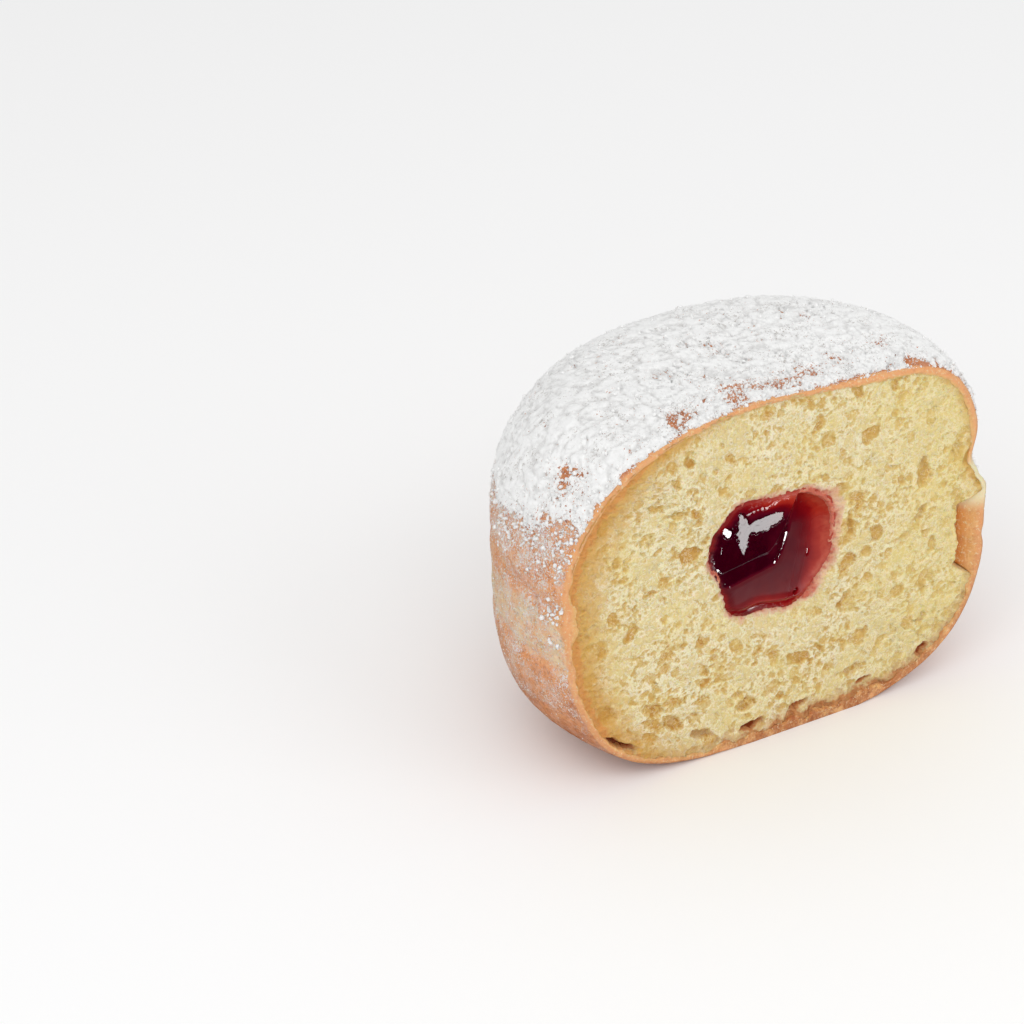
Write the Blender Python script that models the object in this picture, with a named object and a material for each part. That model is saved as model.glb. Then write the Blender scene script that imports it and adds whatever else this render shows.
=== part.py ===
"""The larger half of a sugared jelly doughnut, cut straight down through its filling.

The part stands as it was baked: the resting plane is z = 0, the doughnut's own upright axis
is the Z axis, and the cut face looks along -Y, a little in front of that axis, so that more
than half of the doughnut is left. Two pieces are modelled:

  dough  the baked body: crust, belt, cut rim and crumb face, with the pocket for the filling
  jelly  the filling, which shows at the cut and runs back into the pocket

All sizes are in metres.
"""

import math

import bmesh
import bpy
from mathutils import Matrix, Vector

MM = 0.001
QUARTER_TURN = math.pi / 2.0

# The whole doughnut before it was cut
MEAN_RADIUS = 41.0 * MM
EQUATOR_HEIGHT = 31.4 * MM  # from the resting plane up to the middle of the belt
TOP_HEIGHT = 31.2 * MM  # from the belt up to the crown
BOTTOM_DEPTH = 32.1 * MM  # from the belt down, before the foot is pressed flat
TOP_SIDE_POWER = 3.9  # how square the upper half's plan-to-height profile is
TOP_CROWN_POWER = 2.75
BOTTOM_SIDE_POWER = 3.2
BOTTOM_CROWN_POWER = 3.2

# The plan is not quite round: (lobes, share of the radius, where the first lobe points)
PLAN_LOBES = ((2, 0.016, 0.02), (3, 0.039, 0.73))
TOP_LEAN_X = 0.022  # how far the risen top leans, for each metre of height
TOP_LEAN_Y = 0.063
TOP_RISE_X = 0.61  # the top is higher towards +X, for each metre in X

# The cut
CUT_OFFSET = 10.0 * MM  # from the doughnut's axis forward to the cut face
RIM_ROUND = 0.5 * MM  # the cut edge of the crust is softly rounded

# Swells and hollows of the skin: place in X, Y, Z about the middle of the belt,
# how far each reaches, and how far it stands out (or in, where it is negative)
SKIN_SWELLS = (
    ((-36.0 * MM, -10.0 * MM, -18.0 * MM), 9.5 * MM, -1.3 * MM),  # drawn-in lower left flank
    ((-40.5 * MM, -10.0 * MM, 6.0 * MM), 8.5 * MM, 0.9 * MM),  # belt swollen at the left
    ((12.0 * MM, -10.0 * MM, -32.0 * MM), 8.5 * MM, 0.6 * MM),  # heavy bottom edge
    ((39.5 * MM, -10.0 * MM, -6.5 * MM), 9.0 * MM, 0.8 * MM),  # right flank
    ((39.5 * MM, -10.0 * MM, 3.0 * MM), 4.5 * MM, 1.0 * MM),  # torn flap of belt at the right
    ((33.0 * MM, -8.0 * MM, 25.5 * MM), 8.0 * MM, 0.8 * MM),  # upper right shoulder
    ((14.0 * MM, -10.0 * MM, 30.5 * MM), 11.0 * MM, -0.9 * MM),  # hollow beside the shoulder
    ((-7.0 * MM, -10.0 * MM, 31.5 * MM), 12.0 * MM, 0.7 * MM),  # crown
    ((-31.0 * MM, -10.0 * MM, 23.0 * MM), 8.0 * MM, -0.5 * MM),  # upper left
    ((31.0 * MM, 4.0 * MM, 22.0 * MM), 13.0 * MM, 1.2 * MM),  # shoulder behind the cut
    ((-12.0 * MM, 30.0 * MM, 22.0 * MM), 16.0 * MM, 0.9 * MM),  # back of the crown
    ((18.0 * MM, 36.0 * MM, -8.0 * MM), 14.0 * MM, -0.8 * MM),  # dent at the back
)

# The pale belt where the two fried halves meet, between two shallow seams
BELT_SEAMS = (
    # height about the middle of the belt, wave height, waves round, first crest, half width, depth
    (5.8 * MM, 1.0 * MM, 3, 0.4, 2.4 * MM, 0.50 * MM),
    (-5.6 * MM, 0.8 * MM, 2, 1.9, 2.4 * MM, 0.40 * MM),
)
BELT_HALF_HEIGHT = 5.0 * MM
BELT_SINK = 0.35 * MM

# The upper crust's edge is torn away from the belt at the right end of the cut
NOTCH_PLACE = (37.5 * MM, -10.0 * MM, 9.4 * MM)
NOTCH_REACH = 3.6 * MM
NOTCH_DEPTH = 2.3 * MM
NOTCH_BACK_REACH = 9.0 * MM

# Cut face: the crust has come away from the crumb along the right side and the bottom.
# Angles run round the cut from +X, counter-clockwise as the cut face is looked at.
SIDE_GAP_MIDDLE = math.radians(-12.0)
SIDE_GAP_SPREAD = math.radians(12.0)
SIDE_GAP_WIDTH = 4.6 * MM
SIDE_GAP_DEPTH = 2.6 * MM
SIDE_GAP_CLOSING = 1.15 * MM  # how softly the gap ends at the crumb
LEDGE_MIDDLE = math.radians(-88.0)
LEDGE_SPREAD = math.radians(42.0)
LEDGE_GAP_DEPTH = 1.6 * MM
LEDGE_GAP_MIDDLE = 3.7 * MM  # from the rim in to the middle of the slot
LEDGE_GAP_REACH = 1.32 * MM  # how far the slot's slopes reach to each side of its middle
CRUMB_SWELL = 0.5 * MM  # the springy crumb stands a little proud of the knife's path
CRUMB_SWELL_REACH = 12.3 * MM  # from the rim in to where most of that swell is reached

# The jelly
JELLY_X = -1.1 * MM
JELLY_HEIGHT = 3.0 * MM  # above the middle of the belt
JELLY_RADIUS = 11.2 * MM
JELLY_DEPTH = 21.0 * MM  # from the cut back into the dough
JELLY_LOBES = (
    # lobes round, height, where the first one points
    (1, 1.15 * MM, math.radians(127.0)),
    (2, 0.30 * MM, math.radians(34.0)),
    (3, 0.95 * MM, math.radians(18.0)),
    (4, 0.45 * MM, math.radians(35.0)),
    (5, 0.35 * MM, math.radians(-8.0)),
    (6, 0.30 * MM, math.radians(-27.0)),
)
JELLY_EDGE_RECESS = 1.0 * MM  # the jelly's edge lies this far behind the cut
JELLY_DOME = 0.9 * MM  # and its middle swells forward by this much
POCKET_CLEARANCE = 0.3 * MM  # between the jelly and the wall of its pocket
CUTTER_REACH = 4.0 * MM  # how far the pocket's cutter stands out in front of the jelly's edge
CUTTER_WALL_SHARE = 0.6  # share of the cutter's front half that is its straight wall

# Mesh fineness
DOUGH_SEGMENTS = 88
DOUGH_RINGS = 42
JELLY_SEGMENTS = 32
JELLY_RINGS = 16
RIM_CROWDING = 1.5  # above 1, the rings of the cut face lie closer near the rim
SOLVER_REACH = 102.5 * MM  # farther out than any point of the skin
SOLVER_STEPS = 34
SMOOTH_ANGLE = math.radians(50.0)

# Looks: base colour (linear), roughness
DOUGH_COLOUR = (0.68, 0.46, 0.25, 1.0)
DOUGH_ROUGHNESS = 0.75
JELLY_COLOUR = (0.13, 0.006, 0.016, 1.0)
JELLY_ROUGHNESS = 0.08


def clear_scene():
    """Remove every object, so that the scene holds only this model."""
    for item in list(bpy.data.objects):
        bpy.data.objects.remove(item, do_unlink=True)


def bell(distance, reach):
    """A smooth hump: 1 at no distance, falling to nothing past about twice the reach."""
    return math.exp(-((distance / reach) ** 2))


def turn_between(angle, middle):
    """The turn from middle to angle, brought between minus and plus half a turn."""
    return math.remainder(angle - middle, math.tau)


def plan_radius(angle):
    """Radius of the widest outline in plan, at an angle about the doughnut's axis."""
    lobes = sum(share * math.cos(count * (angle - first)) for count, share, first in PLAN_LOBES)
    return MEAN_RADIUS * (1.0 + lobes)


def form_value(x, y, z):
    """Below 0 inside the risen dough and above 0 outside, z counted from the belt's middle.

    (r / plan radius) ** side power + (|z| / half height) ** crown power - 1, where the upper
    half leans and rises towards one side before it is measured.
    """
    if z > 0.0:
        height = z / (1.0 + TOP_RISE_X * x)
        x -= TOP_LEAN_X * height
        y -= TOP_LEAN_Y * height
        level = (height / TOP_HEIGHT) ** TOP_CROWN_POWER
        side_power = TOP_SIDE_POWER
    else:
        level = (-z / BOTTOM_DEPTH) ** BOTTOM_CROWN_POWER
        side_power = BOTTOM_SIDE_POWER
    reach = math.hypot(x, y) / plan_radius(math.atan2(y, x))
    return reach**side_power + level - 1.0


def skin_distance(direction):
    """How far the plain skin lies from the middle of the cut face, along a direction."""
    near = 0.0
    far = SOLVER_REACH
    for _ in range(SOLVER_STEPS):
        middle = (near + far) / 2.0
        if form_value(middle * direction.x, middle * direction.y - CUT_OFFSET, middle * direction.z) < 0.0:
            near = middle
        else:
            far = middle
    return near


def belt_offset(point):
    """How far the skin stands in (negative) at the belt and its two seams."""
    angle = math.atan2(point.y, point.x)
    offset = -BELT_SINK * bell(point.z, BELT_HALF_HEIGHT)
    for height, wave, waves, crest, half_width, depth in BELT_SEAMS:
        line = height + wave * math.cos(waves * (angle - crest))
        offset -= depth * bell(point.z - line, half_width)
    return offset


def notch_offset(point):
    """How far the torn upper edge of the belt stands in, at the right end of the cut."""
    place = Vector(NOTCH_PLACE)
    across = math.hypot(point.x - place.x, point.z - place.z)
    behind = point.y - place.y
    return -NOTCH_DEPTH * bell(across, NOTCH_REACH) * bell(behind, NOTCH_BACK_REACH)


def skin_offset(point):
    """How far the finished skin stands out from the plain form at a point of it."""
    offset = belt_offset(point) + notch_offset(point)
    for place, reach, height in SKIN_SWELLS:
        offset += height * bell((point - Vector(place)).length, reach)
    return offset


def skin_point(direction):
    """The finished skin along a direction from the middle of the cut face, belt height at z = 0."""
    centre = Vector((0.0, -CUT_OFFSET, 0.0))
    plain = centre + direction * skin_distance(direction)
    return centre + direction * ((plain - centre).length + skin_offset(plain))


def stand_on_plane(point):
    """Lift a point from belt height to height above the resting plane and press the foot flat."""
    return Vector((point.x, point.y, max(point.z + EQUATOR_HEIGHT, 0.0)))


def face_depth(angle, inset):
    """How far the cut face lies behind the knife's path, at an inset from the rim.

    The rim is rounded, the crumb swells gently forward towards the middle, and two gaps
    open between crust and crumb: one slopes in from the right rim, the other is a slot
    behind the thick ledge of bottom crust.
    """
    rim = RIM_ROUND * bell(inset, RIM_ROUND)
    swell = CRUMB_SWELL * (1.0 - bell(inset, CRUMB_SWELL_REACH))
    side_share = bell(turn_between(angle, SIDE_GAP_MIDDLE), SIDE_GAP_SPREAD)
    along = min(inset / SIDE_GAP_WIDTH, 1.0)
    closing = bell(max(inset - SIDE_GAP_WIDTH, 0.0), SIDE_GAP_CLOSING)
    side_gap = SIDE_GAP_DEPTH * side_share * along * closing
    ledge_share = bell(turn_between(angle, LEDGE_MIDDLE), LEDGE_SPREAD)
    slot = LEDGE_GAP_DEPTH * ledge_share * bell(inset - LEDGE_GAP_MIDDLE, LEDGE_GAP_REACH)
    return rim + side_gap + slot - swell


def face_point(angle, share):
    """A point of the cut face; share is 1 at the rim and 0 at the middle of the face."""
    rim = skin_point(Vector((math.cos(angle), 0.0, math.sin(angle))))
    radius = math.hypot(rim.x, rim.z)
    depth = face_depth(angle, radius * (1.0 - share))
    return Vector((rim.x * share, -CUT_OFFSET + depth, rim.z * share))


def dough_point(direction):
    """Where a point of a unit sphere goes: its back half to the skin, its front half to the face."""
    angle = math.atan2(direction.z, direction.x)
    behind = math.asin(max(-1.0, min(1.0, direction.y)))
    if behind > 0.0:
        return stand_on_plane(skin_point(direction))
    share = 1.0 - (-behind / QUARTER_TURN) ** RIM_CROWDING
    return stand_on_plane(face_point(angle, share))


def jelly_radius(angle):
    """Radius of the jelly's uneven outline at the cut."""
    lobes = sum(height * math.cos(count * (angle - first)) for count, height, first in JELLY_LOBES)
    return JELLY_RADIUS + lobes


def jelly_point(direction):
    """Where a point of a unit sphere, its front towards -Y, goes on the jelly."""
    return place_in_pocket(direction, 0.0, -JELLY_DOME * max(-direction.y, 0.0) ** 2, 1.0)


def pocket_point(direction):
    """Where a point of a unit sphere goes on the pocket's cutter.

    The back half is the jelly's own form, grown by the clearance. The front half first runs
    straight forward out of the cut and then closes with a flat cap.
    """
    forward = min(max(-direction.y, 0.0) / CUTTER_WALL_SHARE, 1.0)
    widest = math.sqrt(1.0 - CUTTER_WALL_SHARE**2)
    widening = 1.0 if direction.y > 0.0 else 1.0 / max(math.hypot(direction.x, direction.z), widest)
    return place_in_pocket(direction, POCKET_CLEARANCE, -CUTTER_REACH * forward, widening)


def place_in_pocket(direction, grow, front, widening):
    """Place a point of a unit sphere about the jelly's outline.

    Args:
        direction: point of the unit sphere, front towards -Y.
        grow: how far the surface is moved outwards.
        front: offset along Y of a point of the front half.
        widening: how much further out the point lies than on the sphere.
    """
    angle = math.atan2(direction.z, direction.x)
    across = math.hypot(direction.x, direction.z) * widening
    radius = (jelly_radius(angle) + grow) * across
    behind = (JELLY_DEPTH - JELLY_EDGE_RECESS + grow) * max(direction.y, 0.0)
    return Vector(
        (
            JELLY_X + radius * math.cos(angle),
            -CUT_OFFSET + JELLY_EDGE_RECESS + behind + front,
            EQUATOR_HEIGHT + JELLY_HEIGHT + radius * math.sin(angle),
        )
    )


def finish(colour, roughness, name):
    """A Principled material with one colour and one roughness."""
    material = bpy.data.materials.new(name)
    material.use_nodes = True
    shader = material.node_tree.nodes["Principled BSDF"]
    shader.inputs["Base Color"].default_value = colour
    shader.inputs["Roughness"].default_value = roughness
    shader.inputs["Metallic"].default_value = 0.0
    return material


def shaped_sphere(name, segments, rings, place):
    """A sphere with its poles on Y, each of whose points is moved where place says."""
    mesh = bpy.data.meshes.new(name)
    shape = bmesh.new()
    bmesh.ops.create_uvsphere(shape, u_segments=segments, v_segments=rings, radius=1.0)
    bmesh.ops.rotate(shape, verts=shape.verts, matrix=Matrix.Rotation(QUARTER_TURN, 3, "X"))
    for vertex in shape.verts:
        vertex.co = place(vertex.co.normalized())
    bmesh.ops.recalc_face_normals(shape, faces=shape.faces)
    shape.to_mesh(mesh)
    shape.free()
    mesh.shade_smooth()
    mesh.set_sharp_from_angle(angle=SMOOTH_ANGLE)
    item = bpy.data.objects.new(name, mesh)
    bpy.context.scene.collection.objects.link(item)
    return item


def build_jelly():
    """The filling, with its domed front just behind the cut."""
    jelly = shaped_sphere("jelly", JELLY_SEGMENTS, JELLY_RINGS, jelly_point)
    jelly.data.materials.append(finish(JELLY_COLOUR, JELLY_ROUGHNESS, "jelly"))
    return jelly


def build_dough():
    """The baked body, with the pocket for the jelly cut out of it from the front."""
    dough = shaped_sphere("dough", DOUGH_SEGMENTS, DOUGH_RINGS, dough_point)
    dough.data.materials.append(finish(DOUGH_COLOUR, DOUGH_ROUGHNESS, "dough"))
    pocket = shaped_sphere("pocket_cutter", JELLY_SEGMENTS, JELLY_RINGS, pocket_point)
    pocket.hide_render = True
    pocket.display_type = "WIRE"
    cut = dough.modifiers.new("pocket", "BOOLEAN")
    cut.operation = "DIFFERENCE"
    cut.solver = "EXACT"
    cut.object = pocket
    return dough


def main():
    """Build the cut doughnut half."""
    clear_scene()
    build_dough()
    build_jelly()


main()
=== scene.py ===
"""Looks of a cut jelly filled doughnut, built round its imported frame.

The baked dough is shown as two pieces, a crust and a crumb, whose surfaces are worked out
from the same rules as the solid they stand for, only much finer. The jelly sits in its
pocket, and icing sugar lies on the crust as a coat, as loose clumps and as grains. Sizes are
in metres, or times MM in millimetres, and the small records of swells, seams, bubbles, slots
and strokes hold plain millimetres. The frame's axes are kept: the cut face looks along -Y
and +Z is up. Heights of the form are counted from its belt until they are stood on the table.
"""

from __future__ import annotations

import logging
import math
from dataclasses import dataclass
from enum import Enum

import bpy
import numpy as np
from mathutils import Matrix, Vector


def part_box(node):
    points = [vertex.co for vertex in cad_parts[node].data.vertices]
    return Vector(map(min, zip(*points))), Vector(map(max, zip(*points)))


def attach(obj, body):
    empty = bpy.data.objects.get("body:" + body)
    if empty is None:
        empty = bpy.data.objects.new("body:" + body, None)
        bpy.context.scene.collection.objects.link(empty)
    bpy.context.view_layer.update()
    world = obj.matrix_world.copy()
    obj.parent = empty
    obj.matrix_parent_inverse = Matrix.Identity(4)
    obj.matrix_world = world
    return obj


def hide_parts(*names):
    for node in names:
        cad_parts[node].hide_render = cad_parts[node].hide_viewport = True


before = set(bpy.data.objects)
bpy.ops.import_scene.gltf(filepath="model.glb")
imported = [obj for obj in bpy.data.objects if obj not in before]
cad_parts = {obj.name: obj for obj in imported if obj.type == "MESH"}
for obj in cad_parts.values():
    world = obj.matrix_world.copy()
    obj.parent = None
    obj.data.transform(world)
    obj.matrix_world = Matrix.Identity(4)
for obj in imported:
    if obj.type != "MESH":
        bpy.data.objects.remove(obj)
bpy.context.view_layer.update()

MM = 0.001
LOG = logging.getLogger("doughnut")

Array = np.ndarray
Colour = tuple[float, float, float]
Rise = tuple[float, float, float]
Socket = bpy.types.NodeSocket


def srgb(red: int, green: int, blue: int) -> Colour:
    """Linear colour of three 8-bit display values: ((c + 0.055) / 1.055) ** 2.4 above 0.04."""
    shares = [value / 255.0 for value in (red, green, blue)]
    return tuple(c / 12.92 if c <= 0.04045 else ((c + 0.055) / 1.055) ** 2.4 for c in shares)


def bell(distance: Array, reach: float) -> Array:
    """A smooth hump: exp(-(distance / reach) ** 2)."""
    return np.exp(-np.square(distance / reach))


def step(value: Array, low: float, high: float) -> Array:
    """Smooth rise from 0 at low to 1 at high: t * t * (3 - 2 t)."""
    t = np.clip((value - low) / (high - low), 0.0, 1.0)
    return t * t * (3.0 - 2.0 * t)


def turn_from(middle: float, angle: Array) -> Array:
    """Turn from middle to each angle, between minus and plus half a turn."""
    return np.arctan2(np.sin(angle - middle), np.cos(angle - middle))


def around(radius: Array | float, angle: Array, y: Array | float = 0.0) -> Array:
    """Points (radius cos angle, y, radius sin angle), so round the way the cut looks."""
    x = radius * np.cos(angle)
    return np.stack([x, np.broadcast_to(y, x.shape), radius * np.sin(angle)], axis=1)


@dataclass(frozen=True)
class RandomField:
    """Smooth random values over space, the same on every run for the same seed."""

    seed: int

    def lattice(self, *corner: Array) -> Array:
        """Random value from 0 to 1 of a whole-numbered lattice corner, mixed from its indices.

        Args:
            corner: indices of the corners, one array for each axis.

        Returns:
            One value for each corner.
        """
        mask = 0xFFFFFFFF
        mixed = np.full(corner[0].shape, (self.seed * 3266489917) & mask, dtype=np.uint64)
        for index, factor in zip(corner, (374761393, 668265263, 2246822519)):
            mixed = (mixed ^ ((index.astype(np.int64) & mask).astype(np.uint64) * factor)) & mask
            mixed = (mixed ^ (mixed >> 15)) * 2246822519 & mask
            mixed = (mixed ^ (mixed >> 13)) * 3266489917 & mask
        return ((mixed ^ (mixed >> 16)) & mask).astype(np.float64) / 4294967296.0

    def value(self, points: Array, size: float) -> Array:
        """Value noise from -1 to 1.

        Each lattice cube's eight corner values are blended with t ** 3 (6 t ** 2 - 15 t + 10).

        Args:
            points: positions, one row each.
            size: edge of a lattice cube, so about the size of a blob.

        Returns:
            One value for each point.
        """
        scaled = points / size + 17.31
        base = np.floor(scaled)
        t = scaled - base
        t = t * t * t * (t * (t * 6.0 - 15.0) + 10.0)
        base = base.astype(np.int64)
        total = np.zeros(len(points))
        for corner in range(8):
            steps = np.array([(corner >> axis) & 1 for axis in range(3)])
            weight = np.prod(np.where(steps == 1, t, 1.0 - t), axis=1)
            total += weight * self.lattice(*(base + steps).T)
        return 2.0 * total - 1.0

    def layered(self, points: Array, size: float, octaves: int = 4, gain: float = 0.5) -> Array:
        """Sum of value noises, each half as large and gain times as strong as the one before.

        Args:
            points: positions, one row each.
            size: size of the largest blobs.
            octaves: number of noises.
            gain: strength of each against the one before.

        Returns:
            One value for each point, from -1 to 1.
        """
        total = np.zeros(len(points))
        for octave in range(octaves):
            field = RandomField(self.seed + 101 * octave)
            total += gain**octave * field.value(points, size / 2.0**octave)
            points = points @ TURN.T
        return total / sum(gain**octave for octave in range(octaves))


TURN = np.array(Matrix.Rotation(0.9, 3, Vector((1.0, 2.0, 3.0)).normalized()))


@dataclass(frozen=True)
class BubbleSize:
    """One size of bubble in the crumb, on a jittered grid of cells.

    Attributes:
        cell: edge of a cell; at most one bubble lies in each.
        smallest: least radius, as a share of the cell.
        largest: greatest radius, as a share of the cell.
        share: share of the cells that hold a bubble.
        stretch: how much longer than wide a bubble may be.
        floor: depth towards which the bottoms level off.
        more_right: how much the share grows towards the right rim, as a share of itself.
    """

    cell: float
    smallest: float
    largest: float
    share: float
    stretch: float
    floor: float
    more_right: float = 0.0

    def depth(self, x: Array, z: Array, upright: Array, field: RandomField) -> Array:
        """How deep the cut-open bubbles are below the cut face.

        A bubble of radius R is a bowl of depth b = s (R - d ** 2 / R) at a distance d from
        its middle, levelled off to floor * tanh(2 b / floor).

        Args:
            x: places along the cut.
            z: heights on the cut.
            upright: 0 to 1, how strongly the bubbles are drawn out upwards there.
            field: source of random numbers.

        Returns:
            Depth for each place, 0 between bubbles.
        """
        cell, floor = self.cell * MM, self.floor * MM
        deepest = np.zeros_like(x)
        for shift in range(9):
            i = np.floor(x / cell).astype(np.int64) + shift // 3 - 1
            j = np.floor(z / cell).astype(np.int64) + shift % 3 - 1
            draws = [field.lattice(i, j, np.full_like(i, k)) for k in range(7)]
            middle_x = (i + 0.5 + 0.8 * (draws[0] - 0.5)) * cell
            middle_z = (j + 0.5 + 0.8 * (draws[1] - 0.5)) * cell
            radius = cell * (self.smallest + (self.largest - self.smallest) * draws[2] ** 1.6)
            turn = math.pi * draws[4] * (1.0 - upright) + 0.5 * math.pi * upright
            long_way = 1.0 + (self.stretch - 1.0) * np.maximum(draws[5], 0.7 * upright)
            along = (x - middle_x) * np.cos(turn) + (z - middle_z) * np.sin(turn)
            across = (z - middle_z) * np.cos(turn) - (x - middle_x) * np.sin(turn)
            distance = np.hypot(along / np.sqrt(long_way), across * np.sqrt(long_way))
            bowl = (0.35 + 0.85 * draws[6]) * np.maximum(radius - distance**2 / radius, 0.0)
            share = self.share * (1.0 + self.more_right * np.tanh(middle_x / (20.0 * MM)))
            bowl = np.where(draws[3] < share, bowl, 0.0)
            deepest = np.maximum(deepest, floor * np.tanh(2.0 * bowl / floor))
        return deepest


class MeshDraft:
    """Points, faces and point values of one mesh, gathered as arrays."""

    def __init__(self) -> None:
        """Start with nothing in it."""
        self.points: list[Array] = []
        self.values: list[dict[str, Array]] = []
        self.faces: list[Array] = []

    def add(self, points: Array, **values: Array | float) -> Array:
        """Add points, each with its values.

        Args:
            points: positions, one row each.
            values: named point values, arrays or single numbers.

        Returns:
            The new points' indices.
        """
        points = np.asarray(points, dtype=np.float64).reshape(-1, 3)
        start = sum(len(block) for block in self.points)
        self.points.append(points)
        self.values.append({name: np.broadcast_to(value, len(points)) for name, value in values.items()})
        return np.arange(start, start + len(points))

    def join(self, *corners: Array) -> None:
        """Faces from equally long lists of their first, second, third and perhaps fourth corners."""
        self.faces.append(np.stack([corner.ravel() for corner in corners], axis=1))

    def grid(self, indices: Array) -> None:
        """Quads over a grid of indices, rows by columns; a transposed grid faces the other way."""
        self.join(indices[:-1, :-1], indices[:-1, 1:], indices[1:, 1:], indices[1:, :-1])

    def ring(self, first: Array, second: Array) -> None:
        """Quads between two closed loops of equal length; swapped loops face the other way."""
        self.join(first, np.roll(first, -1), np.roll(second, -1), second)

    def fan(self, loop: Array, apex: int) -> None:
        """Triangles from a closed loop to one point; a reversed loop faces the other way."""
        self.join(loop, np.roll(loop, -1), np.full(len(loop), apex))

    def close(
        self, loop: Array, walls: list[Array], tip: Array, inward: bool, **values: Array | float
    ) -> None:
        """Close an open loop with further rings and a tip.

        Args:
            loop: indices of the loop's points.
            walls: points of each further ring.
            tip: the last point.
            inward: whether the faces look into the space that the rings enclose.
            values: named point values; the tip takes those that are single numbers.
        """
        for wall in walls:
            ring = self.add(wall, **values)
            self.ring(*((loop, ring) if inward else (ring, loop)))
            loop = ring
        even = {name: value for name, value in values.items() if np.ndim(value) == 0}
        self.fan(loop if inward else loop[::-1], self.add(tip, **even)[0])

    def piece(self, name: str, material: bpy.types.Material) -> bpy.types.Object:
        """Make the object, shaded smooth, with every named value as a point attribute.

        Args:
            name: the piece's name.
            material: its finish.

        Returns:
            The new object, linked to the scene.
        """
        points = np.concatenate(self.points)
        faces = sorted(self.faces, key=lambda block: -block.shape[1])
        sizes = np.concatenate([np.full(len(block), block.shape[1]) for block in faces])
        corners = np.concatenate([block.ravel() for block in faces])
        mesh = bpy.data.meshes.new(name)
        mesh.vertices.add(len(points))
        mesh.vertices.foreach_set("co", points.astype(np.float32).ravel())
        mesh.loops.add(len(corners))
        mesh.loops.foreach_set("vertex_index", corners.astype(np.int32))
        mesh.polygons.add(len(sizes))
        mesh.polygons.foreach_set("loop_start", (np.cumsum(sizes) - sizes).astype(np.int32))
        mesh.update(calc_edges=True)
        for key in sorted({key for block in self.values for key in block}):
            blocks = [block.get(key, np.zeros(len(p))) for block, p in zip(self.values, self.points)]
            attribute = mesh.attributes.new(key, "FLOAT", "POINT")
            attribute.data.foreach_set("value", np.concatenate(blocks).astype(np.float32))
        mesh.shade_smooth()
        mesh.materials.append(material)
        item = bpy.data.objects.new(name, mesh)
        bpy.context.scene.collection.objects.link(item)
        return item


@dataclass(frozen=True)
class DiscGrid:
    """A square grid laid on a disc, so that its cells stay nearly even.

    Column a runs from -1 to 1, and row b from lowest to 1. Where |a| > |b| the place is at
    radius a and angle (pi / 4) (b / a), and elsewhere at radius b and angle
    pi / 2 - (pi / 4) (a / b).
    """

    columns: int
    rows: int
    lowest: float = -1.0

    def places(self) -> tuple[Array, Array]:
        """Radius from 0 to 1 and angle of every grid point, rows by columns."""
        rows = np.linspace(self.lowest, 1.0, self.rows + 1)
        a, b = np.meshgrid(np.linspace(-1.0, 1.0, self.columns + 1), rows)
        wide = np.abs(a) > np.abs(b)
        safe_a = np.where(a == 0.0, 1.0, a)
        safe_b = np.where(b == 0.0, 1.0, b)
        radius = np.where(wide, a, b)
        angle = np.where(wide, 0.25 * math.pi * b / safe_a, 0.5 * math.pi - 0.25 * math.pi * a / safe_b)
        angle = np.where(radius < 0.0, angle + math.pi, angle)
        return np.abs(radius), angle

    def border(self, indices: Array) -> Array:
        """Indices of the border points in one loop, counter-clockwise from the first corner."""
        return np.concatenate([indices[0, :-1], indices[:-1, -1], indices[-1, :0:-1], indices[:0:-1, 0]])


@dataclass(frozen=True)
class Swell:
    """A round place where something rises, or sinks where its height is negative."""

    x: float
    y: float
    z: float
    reach: float
    height: float

    def offset(self, points: Array) -> Array:
        """height * exp(-(distance / reach) ** 2) at each point."""
        distance = np.linalg.norm(points - np.array([self.x, self.y, self.z]) * MM, axis=1)
        return self.height * bell(distance, self.reach * MM)


@dataclass(frozen=True)
class Seam:
    """A shallow crease round the belt, at height + wave * cos(waves * (angle - crest))."""

    height: float
    wave: float
    waves: int
    crest: float
    half_width: float
    depth: float

    def offset(self, points: Array, angle: Array) -> Array:
        """How far the skin sinks at each point: depth * exp(-(distance / half_width) ** 2)."""
        wave = self.wave * MM * np.cos(self.waves * (angle - self.crest))
        return self.depth * MM * bell(points[:, 2] - self.height * MM - wave, self.half_width * MM)


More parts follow.
